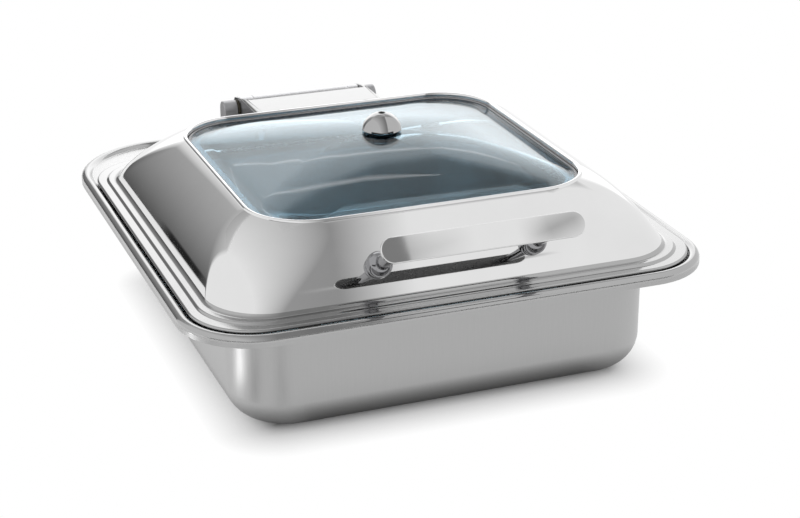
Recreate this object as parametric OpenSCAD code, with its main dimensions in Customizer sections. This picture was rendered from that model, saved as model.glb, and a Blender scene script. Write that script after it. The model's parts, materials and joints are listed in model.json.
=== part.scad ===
// Chafing dish for an induction hob: a water pan with a food pan in it and a glazed lid on a rear hinge.
// Millimetres, +Z up, +Y to the rear. The origin is the middle of the base's underside.

/* [Water pan] */
// Width of the rim from side to side
rim_w = 400; // [370:1:430]
// Rim's front edge, measured from the middle of the base
rim_front = 195; // [190:1:205]
// Rim's rear edge, measured from the middle of the base
rim_back = 233; // [222:1:245]
// Corner radius of the rim at the front
rim_corner = 56; // [45:1:70]
// Corner radius of the rim at the rear
rim_rear_corner = 78; // [60:1:90]
// Radius of the rolled bead along the rim
bead_r = 4.5; // [3.8:0.1:5]
// Height of the bead's crest above the ledge
bead_rise = 3; // [2.2:0.1:3.4]
// Length of the rim's skirt below the middle of the bead
skirt_h = 3.5; // [2:0.1:8]
// Width of the pan's body
pan_w = 324; // [320:1:330]
// Length of the pan's body from front to rear
pan_l = 336; // [332:1:340]
// Corner radius of the pan's body
pan_corner = 46; // [40:1:60]
// Depth from the rim's crest to the underside of the floor
pan_depth = 93; // [85:1:130]
// Radius between the pan's floor and its wall
pan_fillet = 25; // [12:1:32]
// Radius between the pan's wall and its ledge
pan_flare = 2; // [1:0.5:4]
// Thickness of the drawn sheet
sheet = 1; // [0.8:0.1:1.3]

/* [Induction base] */
// Diameter of the steel disc under the pan
disc_d = 224; // [160:1:250]
// Height of the disc
disc_h = 3; // [2:0.1:6]
// Thickness of the disc's steel
disc_t = 0.8; // [0.5:0.1:1.2]
// Clearance round the aluminium spreader
spreader_gap = 0.1; // [0.05:0.05:0.3]

/* [Food pan] */
// Lap of the food pan's flange on the ledge
food_lap = 4; // [3:0.5:6]
// Room between the food pan's wall and the water pan's wall
food_room = 6; // [3:0.5:10]
// Corner radius of the flange
food_flange_corner = 28; // [20:1:44]
// Corner radius of the food pan's body
food_corner = 52; // [40:1:60]
// Inside depth of the food pan
food_depth = 65; // [40:1:80]
// Radius between the food pan's floor and its wall
food_fillet = 20; // [8:1:28]
// Taper of the food pan's wall over its depth
food_taper = 4; // [0:0.5:8]

/* [Lid] */
// Width of the lid's flange from side to side
lid_w = 382; // [376:1:383]
// Length of the lid's flange from front to rear
lid_l = 372; // [366:1:373]
// Corner radius of the lid's flange
lid_corner = 47; // [38:1:60]
// Radius of the hem round the flange
hem_r = 1.5; // [1.2:0.1:1.8]
// Gap between the hem and the ledge
hem_gap = 1; // [0.6:0.1:1.5]
// Distance from the hem to the step in the flange
step_in = 6.5; // [5:0.1:7.5]
// Width of the step in the flange
step_w = 2.2; // [1.6:0.1:2.6]
// Distance from the hem to the foot of the wall
foot_in = 15.2; // [14.5:0.1:18]
// Height of the wall's foot above the rim's crest
foot_h = 5; // [4.6:0.1:7]
// Corner radius of the wall at its foot
foot_corner = 44; // [36:1:56]
// Radius between the flange and the wall
wall_fillet = 4; // [3:0.5:5]
// Height of the window's lip above the rim's crest
lip_h = 48.2; // [44:0.1:60]
// Bulge of the wall out of a straight line
wall_bulge = 6.2; // [4:0.1:8]
// Extra corner radius half way up the wall
corner_swell = 14; // [0:1:24]
// Radius of the rolled lip round the window
lip_bead = 1.8; // [1.5:0.1:2.2]

/* [Window] */
// Width of the window
window_w = 258; // [240:1:266]
// Length of the window
window_l = 243.6; // [226:0.2:250]
// Corner radius of the window
window_corner = 44; // [36:1:54]
// Depth of the window's return below the lip
return_h = 7.8; // [7.5:0.1:10]
// Thickness of the glass
glass_t = 4; // [3:0.1:4.2]
// Rise of the glass at its middle
glass_rise = 23.4; // [10:0.1:30]
// Width of the flat band round the glass
glass_band = 4.5; // [4:0.1:8]
// Thickness of the gasket's lips
gasket_lip = 1.2; // [0.8:0.1:1.5]
// Thickness of the gasket's side
gasket_side = 1.6; // [1:0.1:2.4]
// Width of the gasket's lips
gasket_w = 4.1; // [3.5:0.1:6]
// Clearance between the gasket and the window
gasket_gap = 0.3; // [0.25:0.05:0.5]
// Width of the frame under the gasket
frame_w = 12; // [9:0.5:16]
// Thickness of the frame under the gasket
frame_t = 1.2; // [0.8:0.1:2]
// Height of the frame's upstand
frame_up = 3; // [2:0.1:3.2]

/* [Steam vent] */
// Place of the vent behind the dish's middle, where the glass is highest
vent_y = -9.5; // [-20:0.5:20]
// Radius of the vent's dome
vent_dome_r = 15.7; // [13:0.1:18]
// Height of the vent's dome
vent_dome_h = 13.5; // [12:0.1:16]
// Diameter of the steam hole
vent_hole_d = 5; // [3:0.1:6]
// Diameter of the vent's stem
vent_stem_d = 10; // [8:0.1:12]
// Length of stem inside the dome
vent_grip = 8; // [5:0.1:9]
// Diameter of the vent's washers
vent_washer_d = 24; // [18:0.5:28]
// Thickness of the vent's washers
vent_washer_t = 1.2; // [0.8:0.1:2]
// Width of the vent's nut across its flats
vent_nut_af = 16; // [15:0.5:19]
// Height of the vent's nut
vent_nut_h = 5; // [4:0.5:8]
// Clearance of the vent's stem in its holes
vent_gap = 0.05; // [0.02:0.01:0.1]

/* [Handle] */
// Length of the handle's plate
handle_l = 150.6; // [140:0.2:200]
// Width of the handle's plate
handle_w = 18.2; // [16:0.2:26]
// Thickness of the handle's plate
handle_t = 3; // [2:0.1:5]
// Distance between the handle's posts
handle_pitch = 118; // [90:1:124]
// Distance from the lid's wall to the plate, along the posts
handle_reach = 56.6; // [44:0.2:62]
// Lean of the posts below the square of the wall
handle_lean = 7.5; // [0:0.5:12]
// Place of the handle on the wall, from its foot at 0 to its lip at 1
handle_place = 0.346; // [0.28:0.002:0.45]
// Diameter of the handle's posts
post_d = 10; // [8:0.5:14]
// Radius of the ball at the foot of each post
post_ball_r = 9.5; // [8:0.5:12]
// Distance from the wall to the middle of the ball
post_ball_out = 2.8; // [0:0.2:4]
// Diameter of the handle's screws
handle_screw_d = 6; // [4:0.5:6]
// Grip of the handle's screws in the posts
handle_screw_grip = 14; // [8:1:20]
// Clearance of each screw in its hole
screw_gap = 0.2; // [0.1:0.05:0.4]

/* [Hinge] */
// Height of the hinge pin above the rim's crest
pin_h = 31; // [29:0.5:33]
// Distance from the lid's rear hem to the hinge posts
hinge_clear = 2; // [1.5:0.1:4]
// Diameter of the hinge pin
pin_d = 8; // [6:0.5:9]
// Running clearance of the pin, on the radius
pin_gap = 0.04; // [0.02:0.01:0.08]
// Depth of each hinge post from front to rear
hinge_post_l = 16; // [15:0.5:18]
// Width of each hinge post
hinge_post_w = 12; // [8.5:0.1:14]
// Solid end left behind the pin in each post
hinge_post_end = 2; // [1.5:0.1:3]
// Width of the leaf on the lid
leaf_w = 111; // [90:0.2:140]
// Thickness of the leaf
leaf_t = 2; // [1.5:0.1:2.5]
// Height of the leaf's top above the rim's crest
leaf_h = 45.5; // [45:0.5:47]
// Distance from the leaf's rear bend to the pin
leaf_back = 22; // [18:0.5:26]
// Depth of the leaf's rear bend
leaf_lip = 7; // [4:0.5:9]
// Width of the tabs that lie on the lid's wall
leaf_tab = 16; // [12:0.5:20]
// Radius of the eyes at the end of the leaf's cheeks
eye_r = 11; // [10.4:0.1:12]
// Diameter of the rivets in the leaf
rivet_d = 4.8; // [4:0.1:5.5]
// Clearance between the leaf's bushes and the posts
bush_play = 0.3; // [0.2:0.05:0.5]
// Outside diameter of the bushes
bush_d = 12; // [11:0.5:14]
// Diameter of the bushes' flanges
bush_flange_d = 16; // [15:0.5:18]
// Thickness of the bushes' flanges
bush_flange_t = 1; // [0.8:0.1:1.5]
// Length of the bushes inside the barrel
bush_l = 6; // [4:0.5:10]
// Outside diameter of the damper's barrel
barrel_d = 20; // [18.5:0.5:20.5]
// Length of the damper's rotor
rotor_l = 60; // [30:1:76]
// Diameter of the damper's rotor
rotor_d = 14; // [12:0.5:15]
// Running gap round the damper's rotor
rotor_gap = 0.2; // [0.1:0.05:0.4]
// Thickness of the plate under the hinge posts
base_plate_t = 2; // [1.5:0.1:2.5]
// Margin of that plate round the posts
base_plate_edge = 1.2; // [0.8:0.1:1.6]
// Length of that plate behind the posts
base_plate_tail = 8; // [4:0.5:10]
// Diameter of the hinge posts' screws
hinge_screw_d = 4; // [3:0.5:4]
// Distance between the two screws of one post
hinge_screw_pitch = 9.2; // [8.6:0.1:10]
// Grip of those screws in the posts
hinge_screw_grip = 12; // [8:0.5:16]

/* [Lid buffers] */
// Length of each buffer
buffer_l = 16; // [8:1:30]
// Width of each buffer
buffer_w = 5; // [4:0.5:6]
// Distance from the middle of the lid to each buffer
buffer_x = 118; // [80:1:122]
// Clearance between the buffers and the hem
buffer_gap = 0.3; // [0.2:0.05:0.5]

/* [Hidden] */
$fn = 96;
// Overlap that a cutting shape has past the face it cuts
cut = 1;
// Segments of each corner and of the wall's height in the lofted shells
corner_steps = 8;
wall_steps = 11;
dome_steps = 10;

// Heights of the dish
crest_z = disc_h + pan_depth;
ledge_z = crest_z - bead_rise;

// Rim and pan
rim_hx = rim_w / 2;
rim_front_y = rim_corner - rim_front;
rim_rear_y = rim_back - rim_rear_corner;
pan_hx = pan_w / 2;
pan_hy = pan_l / 2;
// The ledge ends under the inner flank of the bead
bead_flank = sqrt(pow(bead_r, 2) - pow(bead_rise - bead_r, 2));
ledge_inset = bead_r + bead_flank - sheet;

// Food pan
food_hx = pan_hx - sheet - food_room;
food_hy = pan_hy - sheet - food_room;
food_flange_hx = pan_hx + pan_flare + food_lap;
food_flange_hy = pan_hy + pan_flare + food_lap;
food_top = ledge_z + sheet;
food_floor = food_top - food_depth;

// Lid's section, with heights above the crest and distances inwards from the hem
lid_hx = lid_w / 2;
lid_hy = lid_l / 2;
hem_h = hem_gap - bead_rise;
flange_h = hem_h + 2 * hem_r;
foot_hx = lid_hx - foot_in;
foot_hy = lid_hy - foot_in;
lip_hx = window_w / 2 + 2 * lip_bead;
lip_hy = window_l / 2 + 2 * lip_bead;
lip_corner = window_corner + 2 * lip_bead;
wall_run = foot_hy - lip_hy;
wall_rise = lip_h - foot_h;
wall_chord = norm([wall_run, wall_rise]);
wall_radius = (pow(wall_chord / 2, 2) + pow(wall_bulge, 2)) / (2 * wall_bulge);
wall_half_angle = asin(wall_chord / 2 / wall_radius);
wall_tilt = atan2(wall_rise, wall_run);
wall_centre = [
    wall_run / 2 + (wall_radius - wall_bulge) * sin(wall_tilt),
    (foot_h + lip_h) / 2 - (wall_radius - wall_bulge) * cos(wall_tilt)
];
foot_slope = wall_tilt + wall_half_angle;
fillet_in = foot_in - wall_fillet * sin(foot_slope);
shelf_h = foot_h - wall_fillet * (1 - cos(foot_slope));
step_h = shelf_h - flange_h;
seat_h = lip_h - return_h;

// Glass and what holds it
gasket_hx = window_w / 2 - gasket_gap;
gasket_hy = window_l / 2 - gasket_gap;
gasket_corner = window_corner - gasket_gap;
glass_low = crest_z + seat_h + gasket_lip;
glass_top = glass_low + glass_t;
glass_hx = gasket_hx - gasket_side;
glass_hy = gasket_hy - gasket_side;
glass_corner = gasket_corner - gasket_side;
frame_hx = window_w / 2 + sheet + screw_gap + frame_t;
frame_hy = window_l / 2 + sheet + screw_gap + frame_t;
frame_corner = window_corner + sheet + screw_gap + frame_t;

// Steam vent
vent_z = glass_top + glass_rise;
vent_under = vent_z - glass_t;
// The dome of the glass falls this much under the lower washer's rim
vent_sag = glass_rise * pow(vent_washer_d / 2 / (glass_hy - glass_band), 2);

// Handle's place on the front wall
handle_head_d = 1.8 * handle_screw_d;
handle_head_h = 0.6 * handle_screw_d;
handle_washer_t = 1.2;
handle_washer_d = 2.4 * handle_screw_d;
// Depth of the washers' flat face below the outside of the wall, for their curved face and the posts' lean
handle_washer_in = sheet + handle_washer_d / 2 * tan(handle_lean) + handle_washer_t;

// Hinge
pin_y = lid_hy + hinge_clear + hinge_post_l / 2;
pin_z = crest_z + pin_h;
post_x = leaf_w / 2 + bush_flange_t + bush_play;
post_end_x = post_x + hinge_post_w;
pin_half = post_end_x - hinge_post_end - bush_play;
base_plate_z = ledge_z + base_plate_t;
leaf_back_y = pin_y - leaf_back;
leaf_top_z = crest_z + leaf_h;
// Room between the lid's wall and what lies on it
leaf_gap = 0.15;
leaf_low_z = crest_z + foot_h + wall_rise / 4;
rivet_x = leaf_w / 2 - leaf_t - leaf_tab / 2;
rivet_head_d = 1.9 * rivet_d;
rivet_head_h = 0.5 * rivet_d;
// Rivets keep this far from the leaf's top and from the lower end of its tabs
rivet_edge = 0.75 * rivet_head_d;
rivet_rows = [leaf_low_z - crest_z + rivet_edge, leaf_h - leaf_t - rivet_edge];
barrel_half = leaf_w / 2 - leaf_t;
hinge_head_d = 1.75 * hinge_screw_d;
hinge_head_h = hinge_screw_d;
hinge_washer_d = 2 * hinge_screw_d;
hinge_washer_t = 0.8;

// Angle and point of the lid's wall at a share of its height, offset outwards
function wall_angle(share) = 90 + wall_tilt + wall_half_angle * (1 - 2 * share);
function wall_point(share, out = 0) =
    wall_centre + (wall_radius + out) * [cos(wall_angle(share)), sin(wall_angle(share))];
// Share of the wall's height that lies h above the crest
function wall_share(h) =
    let (slope = asin((h - wall_centre[1]) / wall_radius))
    (1 - (90 - wall_tilt - slope) / wall_half_angle) / 2;

// A ring is the half width, half length, corner radius and height of a rounded rectangle
function flange_ring(inwards, h) = [
    lid_hx - inwards,
    lid_hy - inwards,
    lid_corner + (foot_corner - lid_corner) * inwards / foot_in,
    crest_z + h
];
function wall_ring(p) =
    let (share = p[0] / wall_run)
    let (swell = corner_swell * 4 * share * (1 - share))
    [
        foot_hx - share * (foot_hx - lip_hx),
        foot_hy - p[0],
        foot_corner + (lip_corner - foot_corner) * share + swell,
        crest_z + p[1]
    ];
function lip_ring(inwards, h) =
    [lip_hx - inwards, lip_hy - inwards, lip_corner - inwards, crest_z + h];

// Points of a ring, corner by corner, anticlockwise from above; a fifth value moves it to the rear
function corner_sign(k) = [[1, 1], [-1, 1], [-1, -1], [1, -1]][k];
function ring_points(g) = [
    for (k = [0:3], i = [0:corner_steps])
        let (s = corner_sign(k), a = 90 * (k + i / corner_steps))
        let (mid = len(g) > 4 ? g[4] : 0)
        [s[0] * (g[0] - g[2]) + g[2] * cos(a), mid + s[1] * (g[1] - g[2]) + g[2] * sin(a), g[3]]
];
ring_n = 4 * (corner_steps + 1);

// Two triangles between neighbouring points of rings i and j
function strip(i, j) = [
    for (k = [0:ring_n - 1])
        let (a = i * ring_n + k, b = i * ring_n + (k + 1) % ring_n)
        let (c = j * ring_n + (k + 1) % ring_n, d = j * ring_n + k)
        each [[a, c, b], [a, d, c]]
];

// Shell whose section is a closed loop of rings
module ring_loop(rings) {
    m = len(rings);
    points = [for (g = rings) each ring_points(g)];
    faces = [for (i = [0:m - 1]) each strip(i, (i + 1) % m)];
    polyhedron(points, faces, convexity = 10);
}

// Domed pane from rings that run over its upper face, round its edge and under it
module ring_pane(rings, mid, top, bottom) {
    m = len(rings);
    ring_pts = [for (g = rings) each ring_points(g)];
    points = concat(ring_pts, [[0, mid, top], [0, mid, bottom]]);
    centre = len(ring_pts);
    last = (m - 1) * ring_n;
    sides = [for (i = [0:m - 2]) each strip(i, i + 1)];
    cap = [for (k = [0:ring_n - 1]) [k, centre, (k + 1) % ring_n]];
    base = [for (k = [0:ring_n - 1]) [last + (k + 1) % ring_n, centre + 1, last + k]];
    polyhedron(points, concat(sides, cap, base), convexity = 4);
}

// Rounded rectangle, with its half sizes
module rounded_rect(hx, hy, r) {
    square([2 * hx, 2 * (hy - r)], center = true);
    square([2 * (hx - r), 2 * hy], center = true);
    for (x = [-1, 1], y = [-1, 1])
        translate([x * (hx - r), y * (hy - r)]) circle(r);
}

// Flat ring between two rounded rectangles, w wide
module flat_ring(hx, hy, r, w, h) {
    linear_extrude(h) difference() {
        rounded_rect(hx, hy, r);
        rounded_rect(hx - w, hy - w, r - w);
    }
}

// Carries a section, drawn from the corner's axis outwards, round a rounded rectangle
module carry_round(hx, hy, r) {
    for (k = [0:3])
        translate([corner_sign(k)[0] * (hx - r), corner_sign(k)[1] * (hy - r), 0])
            rotate(90 * k) rotate_extrude(angle = 90) children();
    for (side = [-1, 1]) {
        translate([side * (hx - r), 0, 0]) rotate(90 - 90 * side)
            rotate([90, 0, 0]) linear_extrude(2 * (hy - r), center = true) children();
        translate([0, side * (hy - r), 0]) rotate(90 * side)
            rotate([90, 0, 0]) linear_extrude(2 * (hx - r), center = true) children();
    }
}

// Half section of a vessel's block: w wide at its foot and w + taper at its top
module block_section(w, taper, fillet, low, top) {
    difference() {
        polygon([[0, low], [w, low], [w, low + fillet], [w + taper, top], [0, top]]);
        translate([w - fillet, low]) difference() {
            translate([0, -cut]) square([fillet + cut, fillet + cut]);
            translate([0, fillet]) circle(fillet);
        }
    }
}

// Wall and floor of a drawn vessel
module vessel(hx, hy, r, taper, fillet, low, top) {
    carry_round(hx, hy, r) difference() {
        block_section(r - taper, taper, fillet, low, top);
        block_section(r - taper - sheet, taper, fillet - sheet, low + sheet, top + cut);
    }
    translate([0, 0, low + sheet / 2]) cube([2 * (hx - r), 2 * (hy - r), sheet], center = true);
}

// Places a shape on the lid's front wall: local Z stands out of the wall, local Y runs up it
module on_front_wall(share) {
    p = wall_point(share);
    translate([0, p[0] - foot_hy, crest_z + p[1]]) rotate([wall_angle(share) - 90, 0, 0]) children();
}

// Disc in Y and Z that the outside of the lid's wall follows, side -1 at the front and 1 at the rear
module wall_disc(side, out) {
    translate([side * (foot_hy - wall_centre[0]), crest_z + wall_centre[1]]) circle(wall_radius + out, $fn = 360);
}

// Extrudes a section drawn in Y and Z across the dish, w wide about x
module across(x, w) {
    translate([x, 0, 0]) rotate([90, 0, 90]) linear_extrude(w, center = true) children();
}

// Round bar along X from x0 to x1, centred on the hinge pin
module pin_bar(x0, x1, d) {
    translate([x0, pin_y, pin_z]) rotate([0, 90, 0]) cylinder(d = d, h = x1 - x0);
}

module water_pan() color("silver") {
    difference() {
        union() {
            vessel(pan_hx, pan_hy, pan_corner, 0, pan_fillet, disc_h, ledge_z - pan_flare - sheet);
            carry_round(pan_hx, pan_hy, pan_corner) pan_flare_section();
            translate([0, 0, ledge_z - sheet]) linear_extrude(sheet) difference() {
                rim_outline(ledge_inset);
                rounded_rect(pan_hx + pan_flare, pan_hy + pan_flare, pan_corner + pan_flare);
            }
            rim_bead();
        }
        hinge_screw_places()
            translate([0, 0, ledge_z - sheet - cut]) cylinder(d = hinge_screw_d + 2 * screw_gap, h = sheet + 2 * cut);
    }
}

// The bend from the pan's wall into its ledge
module pan_flare_section() {
    intersection() {
        translate([pan_corner + pan_flare, ledge_z - pan_flare - sheet]) difference() {
            circle(pan_flare + sheet);
            circle(pan_flare);
        }
        translate([pan_corner - sheet, ledge_z - pan_flare - sheet]) square(pan_flare + sheet);
    }
}

// Outline of the rim, set inwards
module rim_outline(inwards) {
    hx = rim_hx - inwards;
    front_r = rim_corner - inwards;
    rear_r = rim_rear_corner - inwards;
    translate([-hx, rim_front_y]) square([2 * hx, rim_rear_y - rim_front_y]);
    translate([front_r - hx, rim_front_y - front_r]) square([2 * (hx - front_r), front_r]);
    translate([rear_r - hx, rim_rear_y]) square([2 * (hx - rear_r), rear_r]);
    for (side = [-1, 1]) {
        translate([side * (hx - front_r), rim_front_y]) circle(front_r);
        translate([side * (hx - rear_r), rim_rear_y]) circle(rear_r);
    }
}

// The rolled bead all round the rim
module rim_bead() {
    front_x = rim_hx - rim_corner;
    rear_x = rim_hx - rim_rear_corner;
    for (side = [-1, 1]) {
        translate([side * front_x, rim_front_y, 0]) rotate(side > 0 ? 270 : 180)
            rotate_extrude(angle = 90) bead_section(rim_corner);
        translate([side * rear_x, rim_rear_y, 0]) rotate(side > 0 ? 0 : 90)
            rotate_extrude(angle = 90) bead_section(rim_rear_corner);
        translate([side * front_x, (rim_front_y + rim_rear_y) / 2, 0]) rotate(90 - 90 * side)
            rotate([90, 0, 0]) linear_extrude(rim_rear_y - rim_front_y, center = true) bead_section(rim_corner);
    }
    translate([0, rim_front_y, 0]) rotate(-90) rotate([90, 0, 0])
        linear_extrude(2 * front_x, center = true) bead_section(rim_corner);
    translate([0, rim_rear_y, 0]) rotate(90) rotate([90, 0, 0])
        linear_extrude(2 * rear_x, center = true) bead_section(rim_rear_corner);
}

// Section of the rolled bead and its skirt, drawn from the axis of a corner
module bead_section(corner) {
    mid = [corner - bead_r, crest_z - bead_r];
    difference() {
        translate(mid) circle(bead_r);
        translate(mid) circle(bead_r - sheet);
        translate([mid[0] - 2 * bead_r, mid[1] - 2 * bead_r]) square([4 * bead_r, 2 * bead_r]);
        translate([mid[0] - 2 * bead_r, mid[1] - cut]) square([2 * bead_r, bead_r - bead_rise + cut - sheet]);
    }
    translate([corner - sheet, mid[1] - skirt_h]) square([sheet, skirt_h]);
}

module heat_spreader() color("lightgray") {
    translate([0, 0, disc_t]) cylinder(d = disc_d - 2 * disc_t - 2 * spreader_gap, h = disc_h - disc_t);
}

module induction_disc() color("gray") {
    difference() {
        cylinder(d = disc_d, h = disc_h);
        translate([0, 0, disc_t]) cylinder(d = disc_d - 2 * disc_t, h = disc_h);
    }
}

module food_pan() color("gainsboro") {
    vessel(food_hx, food_hy, food_corner, food_taper, food_fillet, food_floor - sheet, food_top);
    translate([0, 0, ledge_z]) linear_extrude(sheet) difference() {
        rounded_rect(food_flange_hx, food_flange_hy, food_flange_corner);
        rounded_rect(food_hx - sheet, food_hy - sheet, food_corner - sheet);
    }
}

module lid_buffers() color("dimgray") {
    for (x = [-1, 1], y = [-1, 1])
        translate([x * buffer_x, y * (lid_hy - buffer_w / 2), ledge_z])
            linear_extrude(hem_gap - buffer_gap) square([buffer_l, buffer_w], center = true);
}

// Places of the screws that hold the hinge posts
module hinge_screw_places() {
    for (x = [-1, 1], y = [-1, 1])
        translate([x * (post_x + hinge_post_w / 2), pin_y + y * hinge_screw_pitch / 2, 0]) children();
}

module hinge_base_plate() color("silver") {
    difference() {
        translate([-post_end_x - base_plate_edge, pin_y - hinge_post_l / 2 - base_plate_edge, ledge_z])
            cube([
                2 * (post_end_x + base_plate_edge),
                hinge_post_l + base_plate_edge + base_plate_tail,
                base_plate_t
            ]);
        hinge_screw_places() translate([0, 0, ledge_z - cut])
            cylinder(d = hinge_screw_d + 2 * screw_gap, h = base_plate_t + 2 * cut);
    }
}

// One hinge post, side -1 for the left and 1 for the right
module hinge_post(side) {
    difference() {
        across(side * (post_x + hinge_post_w / 2), hinge_post_w) union() {
            translate([pin_y, pin_z]) circle(d = hinge_post_l);
            translate([pin_y - hinge_post_l / 2, base_plate_z]) square([hinge_post_l, pin_z - base_plate_z]);
        }
        pin_bar(
            side < 0 ? -post_end_x + hinge_post_end : post_x - cut,
            side < 0 ? -post_x + cut : post_end_x - hinge_post_end,
            pin_d + 2 * pin_gap
        );
        hinge_screw_places() translate([0, 0, base_plate_z - cut])
            cylinder(d = hinge_screw_d + 2 * pin_gap, h = hinge_screw_grip + 2 * cut);
    }
}

module hinge_post_left() color("silver") hinge_post(-1);

module hinge_post_right() color("silver") hinge_post(1);

module hinge_post_screws() color("gray") {
    head_top = ledge_z - sheet - hinge_washer_t;
    hinge_screw_places() {
        translate([0, 0, head_top - hinge_head_h]) cylinder(d = hinge_head_d, h = hinge_head_h);
        translate([0, 0, head_top]) cylinder(d = hinge_screw_d, h = base_plate_z + hinge_screw_grip - head_top);
    }
}

module hinge_screw_washers() color("silver") {
    hinge_screw_places() translate([0, 0, ledge_z - sheet - hinge_washer_t]) difference() {
        cylinder(d = hinge_washer_d, h = hinge_washer_t);
        translate([0, 0, -cut]) cylinder(d = hinge_screw_d + 2 * screw_gap, h = hinge_washer_t + 2 * cut);
    }
}

module hinge_pin() color("darkgray") pin_bar(-pin_half, pin_half, pin_d);

module damper_rotor() color("dimgray") {
    difference() {
        pin_bar(-rotor_l / 2, rotor_l / 2, rotor_d);
        pin_bar(-rotor_l / 2 - cut, rotor_l / 2 + cut, pin_d + 2 * pin_gap);
    }
}

module lid_shell() color("whitesmoke") {
    outer = concat(
        [for (a = [270:-45:90]) flange_ring(hem_r * (1 + cos(a)), hem_h + hem_r * (1 + sin(a)))],
        [flange_ring(step_in, flange_h)],
        [for (i = [1:3]) flange_ring(step_in + step_w * i / 3, flange_h + step_h * (1 - cos(60 * i)) / 2)],
        [for (i = [0:4]) let (a = foot_slope * i / 4)
            flange_ring(fillet_in + wall_fillet * sin(a), shelf_h + wall_fillet * (1 - cos(a)))],
        [for (i = [1:wall_steps]) wall_ring(wall_point(i / wall_steps))],
        [for (a = [150:-30:0]) lip_ring(lip_bead * (1 + cos(a)), lip_h + lip_bead * sin(a))],
        [lip_ring(2 * lip_bead, seat_h)]
    );
    inner_r = wall_fillet + sheet;
    inner = concat(
        [lip_ring(2 * lip_bead - sheet, seat_h)],
        [lip_ring(2 * lip_bead - sheet, lip_h - sheet / 2)],
        [for (i = [wall_steps:-1:0]) wall_ring(wall_point(i / wall_steps, -sheet))],
        [for (i = [3:-1:0]) let (a = foot_slope * i / 4)
            flange_ring(fillet_in + inner_r * sin(a), shelf_h - sheet + inner_r * (1 - cos(a)))],
        [for (i = [2:-1:0])
            flange_ring(step_in + sheet / 2 + step_w * i / 3, flange_h - sheet + step_h * (1 - cos(60 * i)) / 2)],
        [flange_ring(2 * hem_r, flange_h - sheet)],
        [flange_ring(2 * hem_r, hem_h)]
    );
    difference() {
        ring_loop(concat(outer, inner));
        handle_places() translate([0, 0, -3 * sheet])
            cylinder(d = handle_screw_d + 2 * screw_gap, h = 5 * sheet);
        rivet_holes() translate([0, 0, -3 * sheet]) cylinder(d = rivet_d + 2 * pin_gap, h = 5 * sheet);
    }
}

// Half size of the dome's ring at a share of its reach, which rounds off towards the middle
function dome_ring(share, low) = [
    share * (glass_hx - glass_band),
    share * (glass_hy - glass_band),
    share * min(glass_corner - glass_band + (1 - share) * 70, glass_hy - glass_band),
    low + glass_rise * (1 - share * share),
    vent_y * (1 - share * share)
];

module lid_glass() color([0.62, 0.72, 0.78, 0.6]) {
    shares = [for (i = [1:dome_steps]) i / dome_steps];
    rings = concat(
        [for (s = shares) dome_ring(s, glass_top)],
        [[glass_hx, glass_hy, glass_corner, glass_top]],
        [[glass_hx, glass_hy, glass_corner, glass_low]],
        [for (i = [dome_steps:-1:1]) dome_ring(i / dome_steps, glass_low)]
    );
    difference() {
        ring_pane(rings, vent_y, glass_top + glass_rise, glass_low + glass_rise);
        translate([0, vent_y, vent_under - cut]) cylinder(d = vent_stem_d + 2 * screw_gap, h = glass_t + 2 * cut);
    }
}

module glass_gasket() color("black") {
    seat_z = crest_z + seat_h;
    translate([0, 0, seat_z]) flat_ring(gasket_hx, gasket_hy, gasket_corner, gasket_w, gasket_lip);
    translate([0, 0, glass_low]) flat_ring(gasket_hx, gasket_hy, gasket_corner, gasket_side, glass_t);
    translate([0, 0, glass_top]) flat_ring(gasket_hx, gasket_hy, gasket_corner, gasket_w, gasket_lip);
}

module glass_retaining_frame() color("silver") {
    seat_z = crest_z + seat_h;
    translate([0, 0, seat_z - frame_t]) flat_ring(frame_hx, frame_hy, frame_corner, frame_w, frame_t);
    translate([0, 0, seat_z]) flat_ring(frame_hx, frame_hy, frame_corner, frame_t, frame_up);
}

module vent_cap() color("whitesmoke") {
    translate([0, vent_y, vent_z + vent_washer_t]) difference() {
        translate([0, 0, vent_dome_h - vent_dome_r]) sphere(vent_dome_r);
        translate([0, 0, -vent_dome_r]) cube(2 * vent_dome_r, center = true);
        translate([0, 0, -cut]) cylinder(d = vent_stem_d + 2 * vent_gap, h = vent_grip + cut);
        cylinder(d = vent_hole_d, h = 2 * vent_dome_r);
    }
}

// Stem, from the nut's underside to its end in the dome
module vent_stem() color("gray") {
    low = vent_under - vent_sag - vent_washer_t - vent_nut_h;
    top = vent_z + vent_washer_t + vent_grip;
    translate([0, vent_y, low]) difference() {
        cylinder(d = vent_stem_d, h = top - low);
        translate([0, 0, -cut]) cylinder(d = vent_hole_d, h = top - low + 2 * cut);
    }
}

module vent_washer(z) {
    translate([0, vent_y, z]) difference() {
        cylinder(d = vent_washer_d, h = vent_washer_t);
        translate([0, 0, -cut]) cylinder(d = vent_stem_d + 2 * vent_gap, h = vent_washer_t + 2 * cut);
    }
}

module vent_washer_upper() color("dimgray") vent_washer(vent_z);

module vent_washer_lower() color("dimgray") vent_washer(vent_under - vent_sag - vent_washer_t);

module vent_nut() color("silver") {
    translate([0, vent_y, vent_under - vent_sag - vent_washer_t - vent_nut_h]) difference() {
        cylinder(d = vent_nut_af / cos(30), h = vent_nut_h, $fn = 6);
        translate([0, 0, -cut]) cylinder(d = vent_stem_d + 2 * vent_gap, h = vent_nut_h + 2 * cut);
    }
}

// The handle's own frame: local Z runs along its posts, which lean about the middle of their balls
module on_handle(x) {
    on_front_wall(handle_place) translate([x, 0, post_ball_out])
        rotate([handle_lean, 0, 0]) translate([0, 0, -post_ball_out]) children();
}

// Places of the handle's posts on the lid's wall
module handle_places() {
    for (side = [-1, 1]) on_handle(side * handle_pitch / 2) children();
}

module handle_plate() color("silver") {
    on_handle(0) translate([0, 0, handle_reach]) linear_extrude(handle_t) {
        square([handle_l - handle_w, handle_w], center = true);
        for (x = [-1, 1]) translate([x * (handle_l - handle_w) / 2, 0]) circle(d = handle_w);
    }
}

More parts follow.
